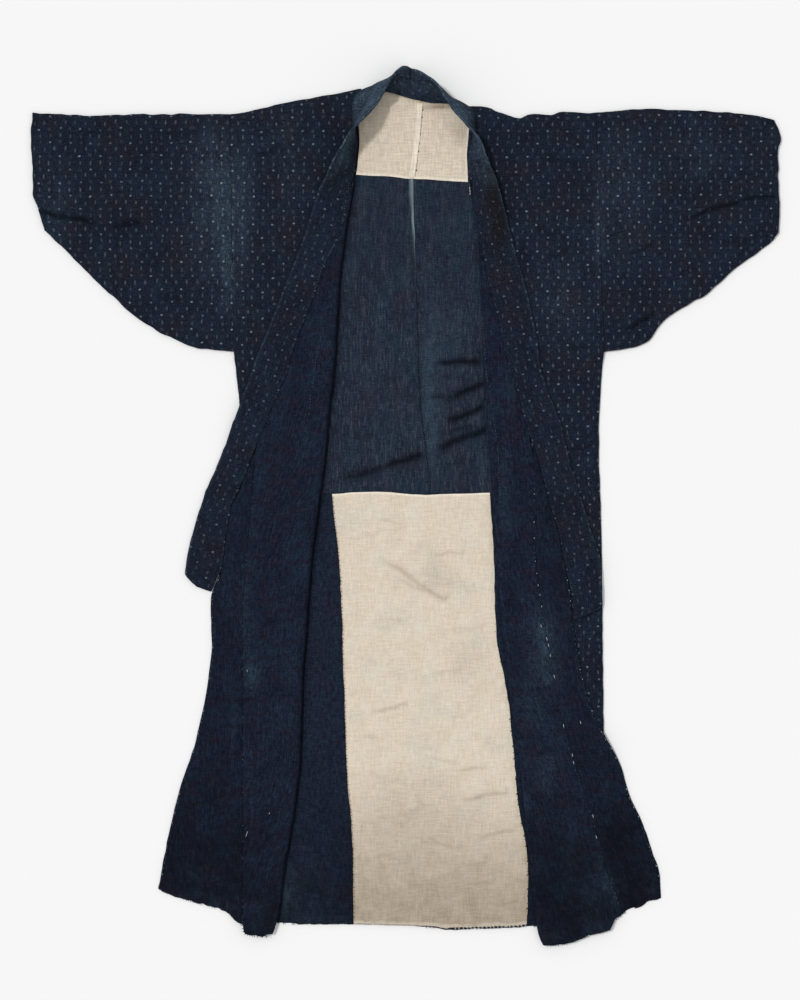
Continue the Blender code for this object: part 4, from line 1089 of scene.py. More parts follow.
def slubby_indigo(colours):
    """The lighter cloth of the back's lining, with slubs along its length."""
    cloth = Cloth("slubby_indigo_cloth")
    u, v = cloth.cut()
    fade, pieced, streak, painted_shade, quiet = (cloth.mark(key) for key in ("fade", "pieced", "streak", "painted_shade", "quiet"))
    slubs = cloth.noise(u, v, 0.0026, 0.021, 3.0, 0.75, 31.0)
    bands = cloth.noise(u, v, 0.009, 0.11, 3.0, 0.6, 32.0)
    blotches = cloth.noise(u, v, 0.05, 0.07, 4.0, 0.6, 33.0)
    purple = cloth.noise(u, v, 0.05, 0.05, 4.0, 0.6, 34.0)
    base = cloth.mix(blotches.between(0.38, 0.62), colours.slub, colours.slub_teal)
    base = cloth.mix(purple.between(0.5, 0.66) * (0.7 - quiet * 0.45), base, colours.slub_purple)
    base = cloth.mix(bands.between(0.45, 0.7) * 0.25, base, colours.slub_light)
    base = cloth.mix(slubs.between(0.5, 0.68) * (0.72 - quiet * 0.3), base, colours.slub_light)
    base = cloth.mix((1 - slubs).between(0.54, 0.72) * (0.55 - quiet * 0.25), base, colours.lining)
    plain = cloth.mix(blotches.between(0.3, 0.7), colours.lining, colours.lining_teal)
    plain = cloth.mix(purple.between(0.5, 0.68) * 0.8, plain, colours.lining_purple)
    plain = cloth.mix(bands.between(0.3, 0.8) * 0.36 + 0.13, plain, colours.lining_light)
    plain = cloth.mix(1.0, plain, mottled(cloth, u, v, 1.9, 37.0), "MULTIPLY")
    base = cloth.mix(pieced, base, plain)
    base = cloth.mix(speckled(cloth, u, v, fade, 67.0), base, colours.indigo_faded)
    base = cloth.mix(1.0, base, weave(cloth, u, v, 1.6, 1.6, 2.0, 35.0), "MULTIPLY")
    base = cloth.mix((streak * (slubs * 0.8 + 0.5)).clamped(), base, colours.streak)
    # Painted shade beside the left fold, along the seam and in creases; the cloth is also darker towards the hem
    base = cloth.mix(painted_shade * 0.85, base, colours.shade)
    return cloth.finish(base, 0.95, threads_relief(cloth, u, v, 0.0009) + slubs * 0.8, 0.00035)


def pale_hemp(colours):
    """Pale hemp or cotton with thick and thin threads both ways, a little stained."""
    cloth = Cloth("pale_hemp_cloth")
    u, v = cloth.cut()
    stain, double, painted_shade, coarse = (cloth.mark(key) for key in ("stain", "double", "painted_shade", "coarse"))
    blotches = cloth.noise(u, v, 0.03, 0.035, 5.0, 0.7, 43.0)
    grey = cloth.noise(u, v, 0.07, 0.05, 3.0, 0.6, 44.0)
    base = cloth.mix(blotches.between(0.36, 0.64), colours.hemp, colours.hemp_warm)
    base = cloth.mix(grey.between(0.5, 0.7) * 0.5, base, colours.hemp_grey)
    base = cloth.mix(coarse * 0.6, base, colours.hemp_warm)
    base = cloth.mix((stain * (blotches * 0.9 + 0.65) + coarse * 0.04).clamped(), base, colours.hemp_stain)
    base = cloth.mix(double * 0.8, base, colours.hemp_double)
    threads = (coarse * 0.22 + stain * 0.2 + 0.4) * (blotches * 0.8 + 0.6)
    base = cloth.mix(1.0, base, weave(cloth, u, v, threads, threads, 0.45, 45.0, 0.024, 0.0027), "MULTIPLY")
    # Painted shade on the creases' steep sides, in the stain colour
    base = cloth.mix(painted_shade * 0.42, base, colours.hemp_stain)
    return cloth.finish(base, 0.9, threads_relief(cloth, u, v, 0.001), 0.0005)


def one_colour(name, color, roughness, specular):
    """A material of one colour, for the threads and the floor."""
    cloth = Cloth(name)
    cloth.shader.inputs["Base Color"].default_value = (*color, 1)
    cloth.shader.inputs["Roughness"].default_value = roughness
    cloth.shader.inputs["Specular IOR Level"].default_value = specular
    return cloth.material


# Settings that a user may change

def colour(name, description, default):
    return bpy.props.FloatVectorProperty(name=name, description=description, default=default, subtype="COLOR",
                                         min=0.0, max=1.0)


def measure(name, description, default, least=0.0, **kind):
    return bpy.props.FloatProperty(name=name, description=description, default=default, min=least, **kind)


DISTANCE = {"subtype": "DISTANCE", "unit": "LENGTH"}


class NoragiColours(bpy.types.PropertyGroup):
    """Colours of the cloths."""

    indigo: colour("Indigo", "Ground of the dotted cloth", (0.0077, 0.0102, 0.0206))
    indigo_teal: colour("Indigo teal", "Bluer patches of the dotted cloth", (0.0086, 0.0150, 0.0274))
    indigo_brown: colour("Indigo brown", "Browner patches of the dotted cloth", (0.0120, 0.0112, 0.0196))
    indigo_stain: colour("Stained indigo", "Brown stain on the band", (0.0084, 0.0072, 0.0084))
    indigo_faded: colour("Faded indigo", "Where the cloth has faded", (0.0282, 0.0474, 0.0708))
    indigo_fibre: colour("Pale fibres", "Worn threads that show white at their crowns", (0.085, 0.115, 0.140))
    indigo_worn: colour("Worn indigo", "Where folded edges are worn", (0.0426, 0.0679, 0.0984))
    dot: colour("Dots", "The undyed threads of the pattern", (0.185, 0.225, 0.25))
    lining: colour("Lining", "Ground of the front linings", (0.0074, 0.0102, 0.0218))
    lining_teal: colour("Lining teal", "Bluer patches of the front linings", (0.0088, 0.0167, 0.0324))
    lining_purple: colour("Lining purple", "Browner patches of the front linings", (0.0114, 0.0102, 0.0207))
    lining_light: colour("Lining streak", "Lighter threads of the front linings", (0.0172, 0.0244, 0.0408))
    slub: colour("Back lining", "Ground of the back's lining", (0.0137, 0.0184, 0.0318))
    slub_teal: colour("Back lining blue", "Bluer patches of the back's lining", (0.0132, 0.0244, 0.0408))
    slub_purple: colour("Back lining purple", "Browner patches of the back's lining", (0.0180, 0.0177, 0.0300))
    slub_light: colour("Slubs", "Lighter slubs of the back's lining", (0.0522, 0.0654, 0.0888))
    streak: colour("Pale streak", "The faded streak down the back's seam", (0.25, 0.33, 0.36))
    # Painted shade: the dark colour mixed into creases, beside folds and into shaded spots
    shade: colour("Deep folds", "Painted shade in creases and beside folds", (0.0024, 0.0028, 0.0058))
    hemp: colour("Hemp", "Ground of the pale patches", (0.715, 0.640, 0.525))
    hemp_warm: colour("Warm hemp", "Warmer places of the pale patches", (0.690, 0.595, 0.475))
    hemp_grey: colour("Grey hemp", "Greyer places of the pale patches", (0.600, 0.560, 0.485))
    hemp_double: colour("Doubled hemp", "Where the patch is folded under and double", (0.90, 0.82, 0.69))
    hemp_stain: colour("Stain", "Stains on the pale patches", (0.35, 0.285, 0.215))
    pale_thread: colour("Pale thread", "The bold running stitches", (0.42, 0.45, 0.44))
    blue_thread: colour("Blue thread", "The faded running stitches", (0.060, 0.100, 0.130))
    red_thread: colour("Red thread", "The whip stitches round the patch", (0.050, 0.018, 0.014))
    hem_thread: colour("Hem thread", "The overcast stitches along the hems", (0.011, 0.021, 0.026))
    dark_thread: colour("Dark thread", "The stitches down the neck patch", (0.030, 0.028, 0.022))
    floor: colour("Floor", "The pale floor", (0.915, 0.915, 0.915))


class NoragiSizes(bpy.types.PropertyGroup):
    """Sizes of the cloths' detail and of the stage."""

    dot_pitch: measure("Dot pitch", "From dot to dot across the cloth", 0.0325, 0.005, **DISTANCE)
    dot_period: measure("Pattern repeat", "Repeat of the dots along the cloth", 0.0428, 0.005, **DISTANCE)
    step: measure("Mesh step", "Distance between the points of the cloths", 0.004, 0.002, **DISTANCE)
    puff: measure("Puff", "How far the top layers rise off each other", 0.0018, **DISTANCE)
    wrinkle: measure("Wrinkles", "Height of the fine wrinkles", 0.0011, **DISTANCE)
    key_strength: measure("Key light", "Strength of the light from the left", 1.45)
    key_angle: measure("Key size", "How wide the light from the left is", math.radians(7), subtype="ANGLE",
                       unit="ROTATION")
    fill_strength: measure("Fill light", "Strength of the light from all round", 0.62)
    camera_height: measure("Camera height", "Height of the camera over the jacket", 3.78, 1.0, **DISTANCE)


def settings():
    scene = bpy.context.scene
    return scene.noragi_colours, scene.noragi_sizes


def millimetres(name):
    """A length of the settings in mm."""
    return getattr(settings()[1], name) / MM


materials = {}


def material(name):
    """A material of the jacket, made once."""
    if name not in materials:
        colours, sizes = settings()
        makers = {"dotted": lambda: dotted_indigo(colours, sizes),
                  "band": lambda: dotted_indigo(colours, sizes, "collar_cloth", 0.66),
                  "plain": lambda: plain_indigo(colours), "slubby": lambda: slubby_indigo(colours),
                  "hemp": lambda: pale_hemp(colours)}
        if name in makers:
            materials[name] = makers[name]()
        else:
            materials[name] = one_colour(name, getattr(colours, name), 0.9, 0.15)
    return materials[name]


def puff(points, share):
    """Height of a layer's share of the loose puff."""
    return share * millimetres("puff") * settle(points[..., 0], points[..., 1])


# Stitches

def surface_of(pieces):
    """Finds the height of the pieces' upper side at a place in mm."""
    trees = []
    for piece in pieces:
        mesh = piece.data
        trees.append(BVHTree.FromPolygons([v.co for v in mesh.vertices], [f.vertices for f in mesh.polygons]))

    def height(x, y):
        start = Vector((x * MM, y * MM, 1.0))
        hits = [tree.ray_cast(start, Vector((0, 0, -1)))[0] for tree in trees]
        return max((hit.z / MM for hit in hits if hit is not None), default=None)

    return height


def along_line(line, spacing, length, seed, gaps, shift=0.4):
    """The ends of running stitches along a line of points, uneven and with some missing."""
    random = np.random.RandomState(seed)
    line = np.array(line, float)
    run = run_along(line)
    ends = []
    at = spacing / 2
    while at < run[-1] - length:
        if random.rand() > gaps:
            long = length * random.uniform(0.7, 1.25)
            off = random.uniform(-shift, shift, 2)
            ends.append([[np.interp(at + go, run, line[:, k]) + off[k] for k in (0, 1)] for go in (0, long)])
        at += spacing * random.uniform(0.85, 1.15)
    return ends


def over_edge(line, spacing, inside, outside, slant, seed):
    """The ends of whip stitches over an edge; the cloth is on the line's left."""
    random = np.random.RandomState(seed)
    line = np.array(line, float)
    run = run_along(line)
    ends = []
    for at in np.arange(spacing, run[-1], spacing):
        at += random.uniform(-0.3, 0.3) * spacing
        here = np.array([np.interp(at, run, line[:, k]) for k in (0, 1)])
        next_one = np.array([np.interp(at + 1, run, line[:, k]) for k in (0, 1)])
        way = (next_one - here) / max(np.linalg.norm(next_one - here), 1e-6)
        left = np.array([-way[1], way[0]])
        reach = random.uniform(0.75, 1.2)
        ends.append([here + left * inside * reach, here - left * outside * reach + way * slant])
    return ends


def sew(name, ends, pieces, radius, look):
    """Makes stitches, each a short thread that comes up out of the cloth and goes back into it."""
    height = surface_of(pieces)
    turn = np.arange(6) * math.pi / 3
    verts, faces = [], []
    for start, end in ends:
        low, high = height(*start), height(*end)
        if low is None and high is None:
            continue
        low, high = (high if low is None else low), (low if high is None else high)
        start, end = np.array([*start, low]), np.array([*end, high])
        way = (end - start) / max(np.linalg.norm(end - start), 1e-6)
        across = np.array([-way[1], way[0], 0.0])
        across /= max(np.linalg.norm(across), 1e-6)
        first = len(verts)
        for share, thick, lift in ((0, 0.5, -0.5), (0.2, 0.95, 0.5), (0.5, 1, 0.8), (0.8, 0.95, 0.5), (1, 0.5, -0.5)):
            centre_at = start + (end - start) * share + [0, 0, radius * lift]
            for angle in turn:
                offset = across * math.cos(angle) + np.array([0, 0, 1.0]) * math.sin(angle)
                verts.append(tuple((centre_at + offset * radius * thick) * MM))
        for ring in range(4):
            for k in range(6):
                a, b = first + ring * 6 + k, first + ring * 6 + (k + 1) % 6
                faces.append((a, b, b + 6, a + 6))
        faces.append(tuple(range(first + 5, first - 1, -1)))
        faces.append(tuple(range(first + 24, first + 30)))
    mesh = bpy.data.meshes.new(name)
    mesh.from_pydata(verts, [], faces)
    mesh.materials.append(look)
    mesh.shade_smooth()
    piece = add_object(name, mesh)
    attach(piece, "root")
    return piece


# Columns x, y: where the linings are sewn with running stitches
RUNNING_LEFT = ((-129, 297), (-136, 263), (-142, 238), (-148, 194), (-153, 161), (-157, 135), (-161, 110))
SEAM_LEFT = ((-242, 52), (-245.6, 0), (-247, -30), (-252, -63), (-255, -81), (-254, -98), (-257, -124),
             (-260, -186), (-260, -263), (-260, -420), (-260, -668))
RUNNING_RIGHT = ((119, 343), (121, 317), (130, 204), (134, 191), (138, 148), (143, 126), (146, 102), (148, 79),
                 (149, 49), (152, -17), (155, -31))
SEAM_RIGHT = ((205, 65), (206, 18), (205, -44), (207, -87), (212, -127), (220, -180), (228, -221), (235, -273),
              (252, -351), (268, -412), (296, -493), (314, -555), (329, -602), (345, -652))
BOLD_RIGHT = (((216, -190), (217, -195)), ((225, -210), (226.5, -216)), ((228, -221), (229, -226)),
              ((231, -237), (231.6, -242)), ((237, -270), (238, -276)), ((252, -349), (253, -355)),
              ((279, -344), (280, -349)), ((266, -396), (267, -401)), ((268, -408), (269, -413)),
              ((299, -493), (300, -499)), ((304, -527), (305.5, -532)))
FAINT_LEFT = (((-253, -262), (-252.6, -266)), ((-217, -490), (-218, -493)), ((-252, -520), (-255, -529)))
YOKE_SEAM = ((25.5, 641), (22.5, 610), (20, 585), (17, 560), (14.5, 540), (12.5, 524.5))
THREAD_TAIL = ((102.5, 516), (103.2, 511), (102.6, 506), (103.6, 501), (103.0, 497))


class NORAGI_OT_back(bpy.types.Operator):
    """Makes the two halves of the back's outer cloth, flat on the floor"""

    bl_idname = "noragi.back"
    bl_label = "Back"

    def execute(self, context):
        for hand in HANDS:
            x, y = back_grid(hand, 0, 0, 0, millimetres("step") * 2.0)
            points = with_height(x, y, Z_BACK)
            flat = points[:, :, :2]
            piece = wall(f"cloth_back_{hand}", points, flat, rounded(edge_distance(points), SHELL),
                         material("dotted"), {"fade": spots(x, y, FADED_SHELL)})
            declare(piece, f"back_{hand}", flat)
        return {"FINISHED"}


class NORAGI_OT_back_lining(bpy.types.Operator):
    """Makes the two halves of the back's lining with the creases it was left in"""

    bl_idname = "noragi.back_lining"
    bl_label = "Back lining"

    def execute(self, context):
        for hand in HANDS:
            x, y = back_grid(hand, BACK_LINING_INSET, 1, LINING_ABOVE_HEM, millimetres("step") * 0.9)
            points = with_height(x, y, Z_BACK_LINING)
            flat = points[:, :, :2].copy()
            bare = bare_back(x, y)
            seam = np.abs(x - centre(y))
            ridge, painted_shade = crease_field(x, y, CREASES_BACK_LINING)
            fine = wrinkles(x, y, 1.0, 0.8, 101) * ease(seam / 5)
            points[:, :, 2] += puff(points, 0.3) + bare * (fine + ridge + puckers(y, seam, 9) * 0.6)
            pieced = ease((PIECED_TOP - y) / 2) + 0 * x
            half, amount = smooth([row[:2] for row in STREAK]), smooth([row[::2] for row in STREAK])
            off_seam = (x - centre(y) + 2.0 * ease((y - 430) / 80) + 0.5) / half(y)
            frayed = 0.3 * np.exp(-(((x - centre(y) + 3.5) / 0.8) ** 2)) * ease((216 - y) / 20) * ease((y - 130) / 40)
            streak = amount(y) * np.exp(-np.abs(off_seam) ** 3) + frayed if hand == "left" else 0 * x
            # Painted shadow of the left front's fold on the lining beside it, fainter towards the hem; it joins the
            # creases' painted shade
            past_fold = x - fold["left"](y)
            fold_shadow = np.maximum(0.8 * (1 - ease((past_fold - 1.5) / 4)), 0.5 * (1 - ease((past_fold - 2) / 9)))
            fold_shadow = fold_shadow * (1 - 0.2 * ease((-100 - y) / 300))
            marks = {"fade": spots(x, y, FADED_BACK_LINING), "pieced": pieced, "streak": streak,
                     "quiet": ease((y - 290) / 130),
                     "painted_shade": np.maximum(painted_shade, fold_shadow) * (bare + fold_shadow > 0)}
            # Painted shade along the centre seam; the cloth is also darker towards the hem
            seam_shadow = 0.75 * np.exp(-((seam / 1.2) ** 2)) * ease((400 - y) / 60)
            marks["painted_shade"] = np.maximum(np.maximum(marks["painted_shade"], seam_shadow), hem_darkening(x, y))
            piece = wall(f"lining_back_{hand}", points, flat, rounded(edge_distance(points), LINING),
                         material("slubby"), marks)
            declare(piece, f"back_lining_{hand}", flat)
        return {"FINISHED"}


def patch_grid(left, right, top, bottom, width, step):
    """Points of a patch whose rows run evenly from its top edge to its bottom edge."""
    height = abs(float(top(0)) - float(bottom(0)))
    across = spread(width, int(width / step))[None, :]
    down = spread(height, int(height / step))[:, None]
    y = top(0.0) * (1 - down) + bottom(0.0) * down + 0 * across
    for _ in range(8):
        x = left(y) * (1 - across) + right(y) * across
        y = top(x) * (1 - down) + bottom(x) * down
    return x, y


class NORAGI_OT_patches(bpy.types.Operator):
    """Makes the pale patches: two halves at the neck and the long one below, with their stitches"""

    bl_idname = "noragi.patches"
    bl_label = "Patches"

    def execute(self, context):
        bottom = smooth(YOKE_BOTTOM)

        def top(x):
            return smooth(YOKE_TOP)(x) + NECK_REACH

        def inner(sign):
            return lambda y: centre(y) + sign * GAP / 2

        # Columns: left edge, right edge, top, bottom, width, then the hem's width at each of these edges
        edges = {"yoke_patch_left": (smooth(YOKE_LEFT_EDGE), inner(-1), top, bottom, 95, 0, 0, 0, 4),
                 "yoke_patch_right": (inner(1), smooth(YOKE_RIGHT_EDGE), top, bottom, 85, 0, 3, 0, 4),
                 "lower_patch": (patch_left, patch_right, smooth(PATCH_TOP), smooth(PATCH_BOTTOM), 270, 0, 0, 3.2, 0)}
        made = {}
        for node, (left, right, upper, lower, width, *hems) in edges.items():
            x, y = patch_grid(left, right, upper, lower, width, millimetres("step") * 0.7)
            points = with_height(x, y, Z_PATCH)
            flat = points[:, :, :2].copy()
            double = np.zeros_like(x)
            for distance, hem in zip((x - left(y), right(y) - x, upper(x) - y, y - lower(x)), hems):
                if hem:
                    double = np.maximum(double, ease((hem - distance) / 0.9 + 0.5))
            edge = edge_distance(points)
            ridge, painted_shade = crease_field(x, y, CREASES_HEMP)
            free = ease((fold["right"](y) - x - 1) / 5) * ease((edge - 1) / 6)
            fine = wrinkles(x, y, 0.7, 1.1 + 0.7 * ease((-120 - y) / 200), 131)
            ridge = ridge * (1 + 0.4 * ease((-380 - y) / 60))
            points[:, :, 2] += puff(points, 0.42) + free * (fine + ridge)
            points[:, :, 2] += puckers(x + y, edge, 17) * ease((fold["right"](y) - x - 1) / 5) * 0.7
            if node == "lower_patch":
                double = np.maximum(double, 0.4 * ease((5.5 - (y - lower(x))) / 1.5))
                border = 0.9 * np.exp(-np.maximum(x - patch_left(y), 0) / 1.2)
            else:
                border = 0.8 * np.exp(-np.maximum(top(x) - y, 0) / 2.2)
            points[:, :, 2] += 0.3 * double
            # The lower patch is darker towards the hem
            lower_darkening = 0.8 * ease((-400 - y) / 280)
            stain = np.clip(spots(x, y, STAINED_HEMP) + lower_darkening + border, 0, 1)
            # Painted shade on the creases' steep sides, where the patch lies free
            piece = wall(f"hemp_{node}", points, flat, rounded(edge, LINING + 0.6 * double), material("hemp"),
                         {"stain": stain, "double": double, "painted_shade": painted_shade * free,
                          "coarse": 0 * x + (node != "lower_patch")})
            made[node] = piece, flat
        yoke = [made["yoke_patch_left"][0], made["yoke_patch_right"][0]]
        height = np.linspace(YOKE_SEAM[0][1] + 1.5, YOKE_SEAM[-1][1] + 0.5, 40)[:, None]
        across = spread(SEAM_STRIP_WIDTH, 5)[None, :]
        x = smooth([(y, x) for x, y in YOKE_SEAM])(height) + (across - 0.75) * SEAM_STRIP_WIDTH
        band = with_height(x, height + 0 * across, Z_PATCH + LINING + 0.45)
        band[:, :, 2] += 0.42 * millimetres("puff") + puckers(height, 0 * x, 19) * 0.8
        strip = wall("hemp_yoke_seam", band, band[:, :, :2], rounded(edge_distance(band), 1.2), material("hemp"),
                     {"double": 0.5 + 0.4 * across + 0 * x, "coarse": 0 * x + 1})
        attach(strip, "root")
        tail = [[THREAD_TAIL[k], THREAD_TAIL[k + 1]] for k in range(len(THREAD_TAIL) - 1)]
        seam_stitches = sew("stitches_yoke_seam", along_line(np.array(YOKE_SEAM) + [3.0, 0], 14, 3.2, 41, 0, 0.5),
                            yoke, 0.75, material("dark_thread"))
        thread_tail = sew("thread_tail", tail, [bpy.data.objects["lining_back_right"], yoke[1]], 0.9,
                          material("pale_thread"))
        patch = made["lower_patch"][0]
        rows = np.linspace(17, -664, 120)
        left_edge = np.stack([patch_left(rows), rows], axis=1)
        right_edge = np.stack([patch_right(rows[::-1]), rows[::-1]], axis=1)[:90]
        foot = [(x, float(smooth(PATCH_BOTTOM)(x))) for x in np.linspace(-82, 194, 40)]
        whips = over_edge(left_edge, 6.2, 1.9, 1.0, 1.8, 43)
        whips += over_edge(foot[:26], 3.4, 1.0, 0.9, 1.2, 44)
        whips += over_edge(right_edge, 21.0, 1.8, 0.9, 1.2, 45)
        backs = [patch, *(bpy.data.objects[f"lining_back_{hand}"] for hand in HANDS)]
        red = sew("stitches_patch_edge", whips, backs, 0.55, material("red_thread"))
        selvedge = over_edge([point for point in foot if point[0] > 70], 3.1, 1.0, 3.2, 0.5, 46)
        selvedge += over_edge([point for point in foot if 28 < point[0] < 50], 2.6, 0.8, 3.0, 0.5, 48)
        frayed = over_edge(right_edge[:60], 23.0, 2.4, 2.6, 5.0, 47)
        dark = sew("stitches_patch_dark", selvedge[::2] + frayed, backs, 0.75, material("dark_thread"))
        pale = sew("stitches_patch_pale", selvedge[1::2], backs, 0.8, material("pale_thread"))
        for node, (piece, flat) in made.items():
            declare(piece, node, flat)
        return {"FINISHED"}


# The pieces that stitches are sewn on later, and their flat cuts
unsewn = {}


class NORAGI_OT_fronts(bpy.types.Operator):
    """Makes the fronts and their linings, folded back outwards"""

    bl_idname = "noragi.fronts"
    bl_label = "Fronts"

    def execute(self, context):
        for hand in HANDS:
            shell, lining = front_grids(hand, millimetres("step"))
            points, flat, turn = shell
            x, y = xy_of(points)
            bare = bare_front(x, y, hand) * (1 - turn)
            ridge, painted_shade = crease_field(x, y, CREASES_FRONT[hand])
            fine = wrinkles(x, y, 0.9, 0.7, 151)
            seam = np.abs(side(y, hand) - x)
            points[:, :, 2] += puff(points, 0.5) + puff(points, 0.3) * turn
            points[:, :, 2] += bare * (fine + ridge + puckers(y, seam, 23))
            # Painted shade on the creases' steep sides
            marks = {"fade": spots(x, y, FADED_SHELL) * (1 - turn), "painted_shade": painted_shade * bare}
            outer, outer_flat, marks = over_shoulder(points, flat, marks)
            piece = wall(f"cloth_front_{hand}", outer, outer_flat, rounded(edge_distance(outer), SHELL),
                         material("dotted"), marks)
            declare(piece, f"front_{hand}", outer_flat)
            points, flat, turn = lining
            x, y = xy_of(points)
            run = run_length(points)
            to_seam = run[:, -1:] - run
            free = turn * ease((CURL_END - 12 - y) / 25)
            ridge, painted_shade = crease_field(x, y, CREASES_LINING[hand])
            fine = wrinkles(x, y, 1.5, 0.6, 161) * ease(to_seam / 6)
            points[:, :, 2] += puff(points, 0.4) + puff(points, 0.5) * turn
            points[:, :, 2] += free * (fine + (ridge + puckers(y, to_seam, 29)) * (turn > 0.99))
            # Painted shade on the creases' steep sides and in a listed spot; the cloth is also darker towards the hem
            marks = {"fade": spots(x, y, FADED_LINING), "painted_shade": np.maximum(painted_shade * (turn > 0.99), hem_darkening(x, y))}
            marks["painted_shade"] = np.minimum(marks["painted_shade"] + spots(x, y, SHADED_LINING), 1)
            if hand == "left":
                # Painted shade on the left fold's roll, on its side away from the light
                shadow_side = 0.42 * np.exp(-(((x - fold[hand](y)) / 5) ** 2)) * ease((500 - y) / 60)
                marks["painted_shade"] = np.maximum(marks["painted_shade"], shadow_side)
            piece = wall(f"lining_front_{hand}", points, flat, rounded(edge_distance(points), LINING),
                         material("plain"), marks)
            unsewn[hand] = piece, flat
        return {"FINISHED"}


class NORAGI_OT_overlaps(bpy.types.Operator):
    """Makes the overlaps sewn to the fronts' edges, and their linings"""

    bl_idname = "noragi.overlaps"
    bl_label = "Overlaps"

    def execute(self, context):
        for hand in HANDS:
            points = overlap_grid(hand, millimetres("step") * 1.5)
            flat = np.stack([points[:, :, 0] - points[:, :1, 0], points[:, :, 1]], axis=2)
            fade = spots(points[:, :, 0], points[:, :, 1], FADED_SHELL)
            thickness = rounded(edge_distance(points), SHELL)
            points[:, :, 2] += puff(points, 0.8)
            piece = wall(f"cloth_overlap_{hand}", points, flat, thickness, material("dotted"), {"fade": fade})
            declare(piece, f"overlap_{hand}", flat)
            upper = overlap_grid(hand, millimetres("step"), 1.6, LINING_ABOVE_HEM)
            x, y = xy_of(upper)
            flat = np.stack([x - x[:, :1], y], axis=2)
            thickness = rounded(edge_distance(upper), LINING)
            to_seam = outward[hand] * (x - x[:, :1])
            to_edge = outward[hand] * (x[:, -1:] - x)
            ridge, painted_shade = crease_field(x, y, CREASES_LINING[hand])
            fine = wrinkles(x, y, 1.5, 0.6, 161) * ease(to_seam / 6)
            free = ease((edge_distance(upper) + 2) / 8)
            upper[:, :, 2] += LINING_OFFSET + puff(upper, 0.9) + free * (fine + ridge)
            upper[:, :, 2] += puckers(y, np.minimum(to_seam, to_edge), 29) * ease((TIP_START - 20 - y) / 20)
            # Painted shade over the whole lining, more on the right one's lower part, with the creases' painted shade;
            # the cloth is also darker towards the hem
            shaded = 0.22 + (0.2 * ease((-420 - y) / 120) if hand == "right" else 0)
            piece = wall(f"lining_overlap_{hand}", upper, flat, thickness, material("plain"),
                         {"fade": spots(x, y, FADED_LINING), "painted_shade": np.maximum(painted_shade, shaded + hem_darkening(x, y))})
            declare(piece, f"overlap_lining_{hand}", flat)
        return {"FINISHED"}


class NORAGI_OT_sleeves(bpy.types.Operator):
    """Makes the sleeves: tubes pressed flat, folded at the top and open at the cuff"""

    bl_idname = "noragi.sleeves"
    bl_label = "Sleeves"

    def execute(self, context):
        for hand in HANDS:
            points, flat = sleeve_grid(hand, millimetres("step") * 1.1)
            x, y = xy_of(points)
            high = np.clip((points[:, :, 2] - Z_BACK) / (SLEEVE_FRONT - Z_BACK), 0, 1)
            to_top, to_seam = shoulder[hand](x) - y, y - underarm[hand](x)
            to_arm = outward[hand] * (x - armhole[hand](y))
            to_cuff = outward[hand] * (cuff[hand](y) - x)
            free = ease(to_top / 12) * ease(to_seam / 9) * ease(to_arm / 7) * (0.35 + 0.65 * ease(to_cuff / 12))
            ridge, painted_shade = crease_field(x, y, CREASES_SLEEVE[hand])
            fine = wrinkles(x, y, 0.8, 0.9, 171)
            points[:, :, 2] += high * (puff(points, 0.8) + free * (fine + ridge))
            points[:, :, 2] += high * free * puckers(y, to_arm, 23)
            # Painted shade on the creases' steep sides
            marks = {"fade": spots(x, y, FADED_SHELL), "painted_shade": painted_shade * (high > 0.99) * free}
            piece = wall(f"cloth_sleeve_{hand}", points, flat, SHELL, material("dotted"), marks, closed=True)
            declare(piece, f"sleeve_{hand}", flat)
        return {"FINISHED"}


# Columns y, share: how much of its full height the band keeps on the right front
slack = smooth(((400, 0.4), (530, 0.42), (575, 0.6), (615, 1.0)))


def band_points(sections, share):
    """Points of the band: it lies on the fronts, and stands up, bowed outwards, round the neck."""
    way = np.gradient(sections[:, :2], axis=0)
    way = way / np.linalg.norm(way, axis=1, keepdims=True)
    rows = []
    for (seam_x, seam_y, edge_x, edge_y, bow, floor, raised), along in zip(sections, way):
        foot = np.array([seam_x, seam_y])
        reach = np.array([edge_x, edge_y]) - foot
        rise = math.sqrt(max(BAND_WIDTH ** 2 - float(reach @ reach) - BOW_LENGTH * bow ** 2, 0)) * raised
        if seam_x > 90:
            rise *= float(slack(seam_y))
        out = np.array([-along[1], along[0]])
        lean = math.atan2(rise, float(reach @ out))
        start = foot + out * (BAND_SIDE_GAP + BAND / 2) * math.sin(lean)
        swell = 4 * share * (1 - share) * bow
        plan = start + reach * share[:, None] + out * (swell * math.sin(lean))[:, None]
        z = floor + BAND_LIFT + BAND / 2 * abs(math.cos(lean)) + rise * share + swell * abs(math.cos(lean))
        if floor > ON_FRONT_LEVEL:
            hand = "left" if foot[0] < 0 else "right"
            z = z - Z_ON_FRONT + on_front(plan[:, 0], plan[:, 1], hand)
        rows.append(np.column_stack([plan, z]))
    return np.array(rows)


